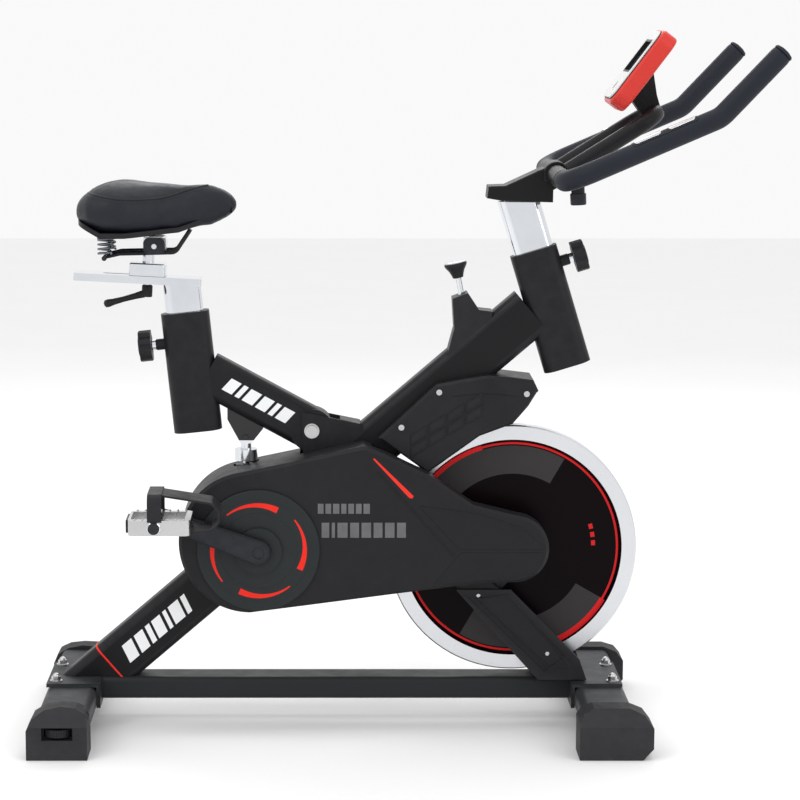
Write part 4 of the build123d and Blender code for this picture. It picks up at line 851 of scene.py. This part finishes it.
KNOB_HEAD = 0.028  # from the collar's foot to the knob's outer face
KNOB_COLLAR = ((0.0079, 0.0006), (0.0087, 0.0012), (0.0087, 0.0070), (0.0079, 0.0076))
KNOB_DISC = ((0.0150, 0.0002), (0.0140, 0.0012), (0.0040, 0.0018), (0.0010, 0.0018))
SLEEVE_TOP, HEAD_TOP = Vector((-0.339, 0, 0.667)), Vector((0.214, 0, 0.7655))
sleeve_down = Vector((SLEEVE_KNOB_WAY.z, 0, -SLEEVE_KNOB_WAY.x)) * -1
head_down = Vector((HEAD_KNOB_WAY.z, 0, -HEAD_KNOB_WAY.x))
for label, top, down, way, drop in (
    ("seat", SLEEVE_TOP, sleeve_down, SLEEVE_KNOB_WAY, 0.048),
    ("head", HEAD_TOP, head_down, HEAD_KNOB_WAY, 0.030),
):
    body = f"{label}_knob"
    middle = top + down.normalized() * drop
    outer = max((v.co - middle).dot(way) for v in NODES[body].data.vertices)
    face = middle + way * (outer - KNOB_HEAD)
    lathe(f"{label}_knob_collar", KNOB_COLLAR, face, way, CHROME, body, closed=True)
    lathe(f"{label}_knob_disc", KNOB_DISC, middle + way * outer, way, PLASTIC, body)

# ---- handlebar -----------------------------------------------------------------------------
BAR = Vector((0.2475, 0, 0.8854))
GRIP_BEND, GRIP_END = Vector((0.475, 0, 0.983)), Vector((0.5645, 0, 1.0775))
HANDLE_Y, HANDLE_ROOT_Y, BEND_RADIUS = 0.210, 0.150, 0.045
FOAM_RADIUS, FOAM_STEP, FOAM_SIDES = 0.0160, 0.004, 48
LEAN_IN = 8
GRIP_WAY = (GRIP_BEND - BAR).normalized()
GRIP_UP = Vector((-GRIP_WAY.z, 0, GRIP_WAY.x))


def shell(name, low, high, inner, outer, spread, side, material):
    """A curved plate lying on top of a handle, between two distances along it."""
    axis = BAR + Vector((0, side * HANDLE_Y, 0))
    bm = bmesh.new()
    rings = []
    for distance, squeeze in ((low, 0.82), (low + 0.003, 1.0), (high - 0.003, 1.0), (high, 0.82)):
        ring = []
        for radius in (outer, inner):
            turns = [math.radians(spread * squeeze * (i / 10 - 1)) for i in range(21)]
            for turn in turns if radius == outer else reversed(turns):
                turn -= math.radians(side * LEAN_IN)
                across = Vector((0, radius * math.sin(turn), 0))
                ring.append(bm.verts.new(
                    axis + GRIP_WAY * distance + GRIP_UP * radius * math.cos(turn) + across))
        rings.append(ring)
    bridge(bm, rings)
    made = piece(name, mesh_of(name, bm), material, "handlebar")
    made.data.set_sharp_from_angle(angle=math.radians(35))
    return made


def bent(corners, radius, steps=12):
    """A path through corner points with its inner corners rounded to a radius."""
    path = [corners[0]]
    for before, corner, after in zip(corners, corners[1:], corners[2:]):
        back, ahead = (before - corner).normalized(), (after - corner).normalized()
        half = back.angle(ahead) / 2
        middle = corner + (back + ahead).normalized() * radius / math.sin(half)
        first = corner + back * radius / math.tan(half) - middle
        last = corner + ahead * radius / math.tan(half) - middle
        path += [middle + first.slerp(last, step / steps) * radius if step not in (0, steps)
                 else middle + (first if step == 0 else last) for step in range(steps + 1)]
    return path + [corners[-1]]


def grip(name, side):
    """A foam sleeve over a handle's tube, drawn in a little at both ends."""
    aside = Vector((0, side * HANDLE_Y, 0))
    path = bent([BAR + Vector((0, side * HANDLE_ROOT_Y, 0)), BAR + aside, GRIP_BEND + aside,
                 GRIP_END + aside], BEND_RADIUS)
    dense = [path[0]]
    for second in path[1:]:
        first = dense[-1]
        count = max(1, round((second - first).length / FOAM_STEP))
        dense += [first.lerp(second, (i + 1) / count) for i in range(count)]
    bm = bmesh.new()
    rings = []
    for i, point in enumerate(dense):
        way = (dense[min(i + 1, len(dense) - 1)] - dense[max(i - 1, 0)]).normalized()
        turn = way.to_track_quat("Z", "Y").to_matrix()
        rim = min(i, len(dense) - 1 - i)
        radius = FOAM_RADIUS - {0: 0.0012, 1: 0.0003}.get(rim, 0.0)
        angles = [2 * math.pi * a / FOAM_SIDES for a in range(FOAM_SIDES)]
        rings.append([
            bm.verts.new(point + turn @ Vector((radius * math.cos(a), radius * math.sin(a), 0)))
            for a in angles
        ])
    # each ring starts at the vertex nearest the last ring's start, so that the skin isn't twisted
    for i in range(1, len(rings)):
        start = rings[i - 1][0].co
        offset = min(range(FOAM_SIDES), key=lambda k: (rings[i][k].co - start).length)
        rings[i] = rings[i][offset:] + rings[i][:offset]
    bridge(bm, rings)
    return piece(name, mesh_of(name, bm), GRIP, "handlebar")


for label, side in SIDES:
    sleeve = grip(f"foam_grip_{label}", side)
    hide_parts(f"handle_{label}")
    shell(f"pulse_bed_{label}", 0.110, 0.215, 0.0155, 0.0168, 54, side, PLASTIC)
    shell(f"pulse_lower_{label}", 0.114, 0.156, 0.0160, 0.0178, 45, side, CHROME)
    shell(f"pulse_upper_{label}", 0.169, 0.211, 0.0160, 0.0178, 45, side, CHROME)
    lathe(f"grip_cap_{label}", [
        (0.0139, -0.002), (0.0139, 0.0001), (0.0159, 0.0002), (0.0157, 0.0020), (0.0143, 0.0042),
        (0.0080, 0.0062), (0.0010, 0.0068),
    ], GRIP_END + Vector((0, side * HANDLE_Y, 0)), (GRIP_END - GRIP_BEND).normalized(), GRIP,
          "handlebar")

lathe("clamp_stub", [
    (0.0105, 0.000), (0.0105, 0.020), (0.0125, 0.021), (0.0125, 0.0365), (0.0115, 0.0385),
    (0.0020, 0.0385),
], Vector((0.2770, -0.062, 0.880)), Vector((0.05, 0, -1)).normalized(), DARK_STEEL, "handlebar")
HUMP_RADIUS = 0.0215
hump = [(BAR.x + HUMP_RADIUS * math.cos(math.radians(a)),
         BAR.z + HUMP_RADIUS * math.sin(math.radians(a))) for a in range(-20, 161, 12)]
prism("clamp_cap", hump + [(BAR.x - 0.020, BAR.z - 0.010)], -0.030, 0.030, FRAME, "handlebar",
      0.002)


# ---- console -------------------------------------------------------------------------------

def plate(name, loops, lift, thick, edge, material):
    """A flat plate on the console's face, with holes where its inner loops lie."""
    curve = bpy.data.curves.new(name, "CURVE")
    curve.dimensions = "2D"
    curve.fill_mode = "BOTH"
    curve.extrude = thick / 2 - edge
    curve.bevel_depth = edge
    curve.bevel_resolution = 2
    for points in loops:
        line = curve.splines.new("POLY")
        line.points.add(len(points) - 1)
        for control, (x, y) in zip(line.points, points):
            control.co = (x, y, 0, 1)
        line.use_cyclic_u = True
    drawn = bpy.data.objects.new(name, curve)
    bpy.context.scene.collection.objects.link(drawn)
    bpy.context.view_layer.update()
    mesh = bpy.data.meshes.new_from_object(drawn)
    bpy.data.objects.remove(drawn)
    slope = Vector((CONSOLE_OUT.z, 0, -CONSOLE_OUT.x))
    turn = Matrix((slope, CONSOLE_OUT.cross(slope), CONSOLE_OUT)).transposed().to_4x4()
    turn.translation = CONSOLE_CENTRE + CONSOLE_OUT * (lift + thick / 2)
    mesh.transform(turn)
    return piece(name, mesh, material, "handlebar", smooth=False)


BUTTON_X, BUTTON_RADIUS, WINDOW_X = -0.042, 0.0092, 0.016
button_ring = [(BUTTON_X + BUTTON_RADIUS * math.cos(a * math.pi / 16),
                BUTTON_RADIUS * math.sin(a * math.pi / 16)) for a in range(32)]
window = rounded(0.064, 0.084, 0.006, shift=WINDOW_X)
# a black plate 2 mm wider than the bezel all round; its rim is painted shade in the seam between
# bezel and housing
plate("console_seam_shade", [rounded(0.130, 0.108, 0.019), window, button_ring], 0.0, 0.0010, 0.0002,
      PLASTIC)
plate("console_bezel", [rounded(0.126, 0.104, 0.017), window, button_ring], 0.0010, 0.0026,
      0.0008, BEZEL)
plate("console_window", [rounded(0.0618, 0.0818, 0.005, shift=WINDOW_X),
                         rounded(0.056, 0.076, 0.004, shift=WINDOW_X)],
      -0.0018, 0.0048, 0.0005, PLASTIC)
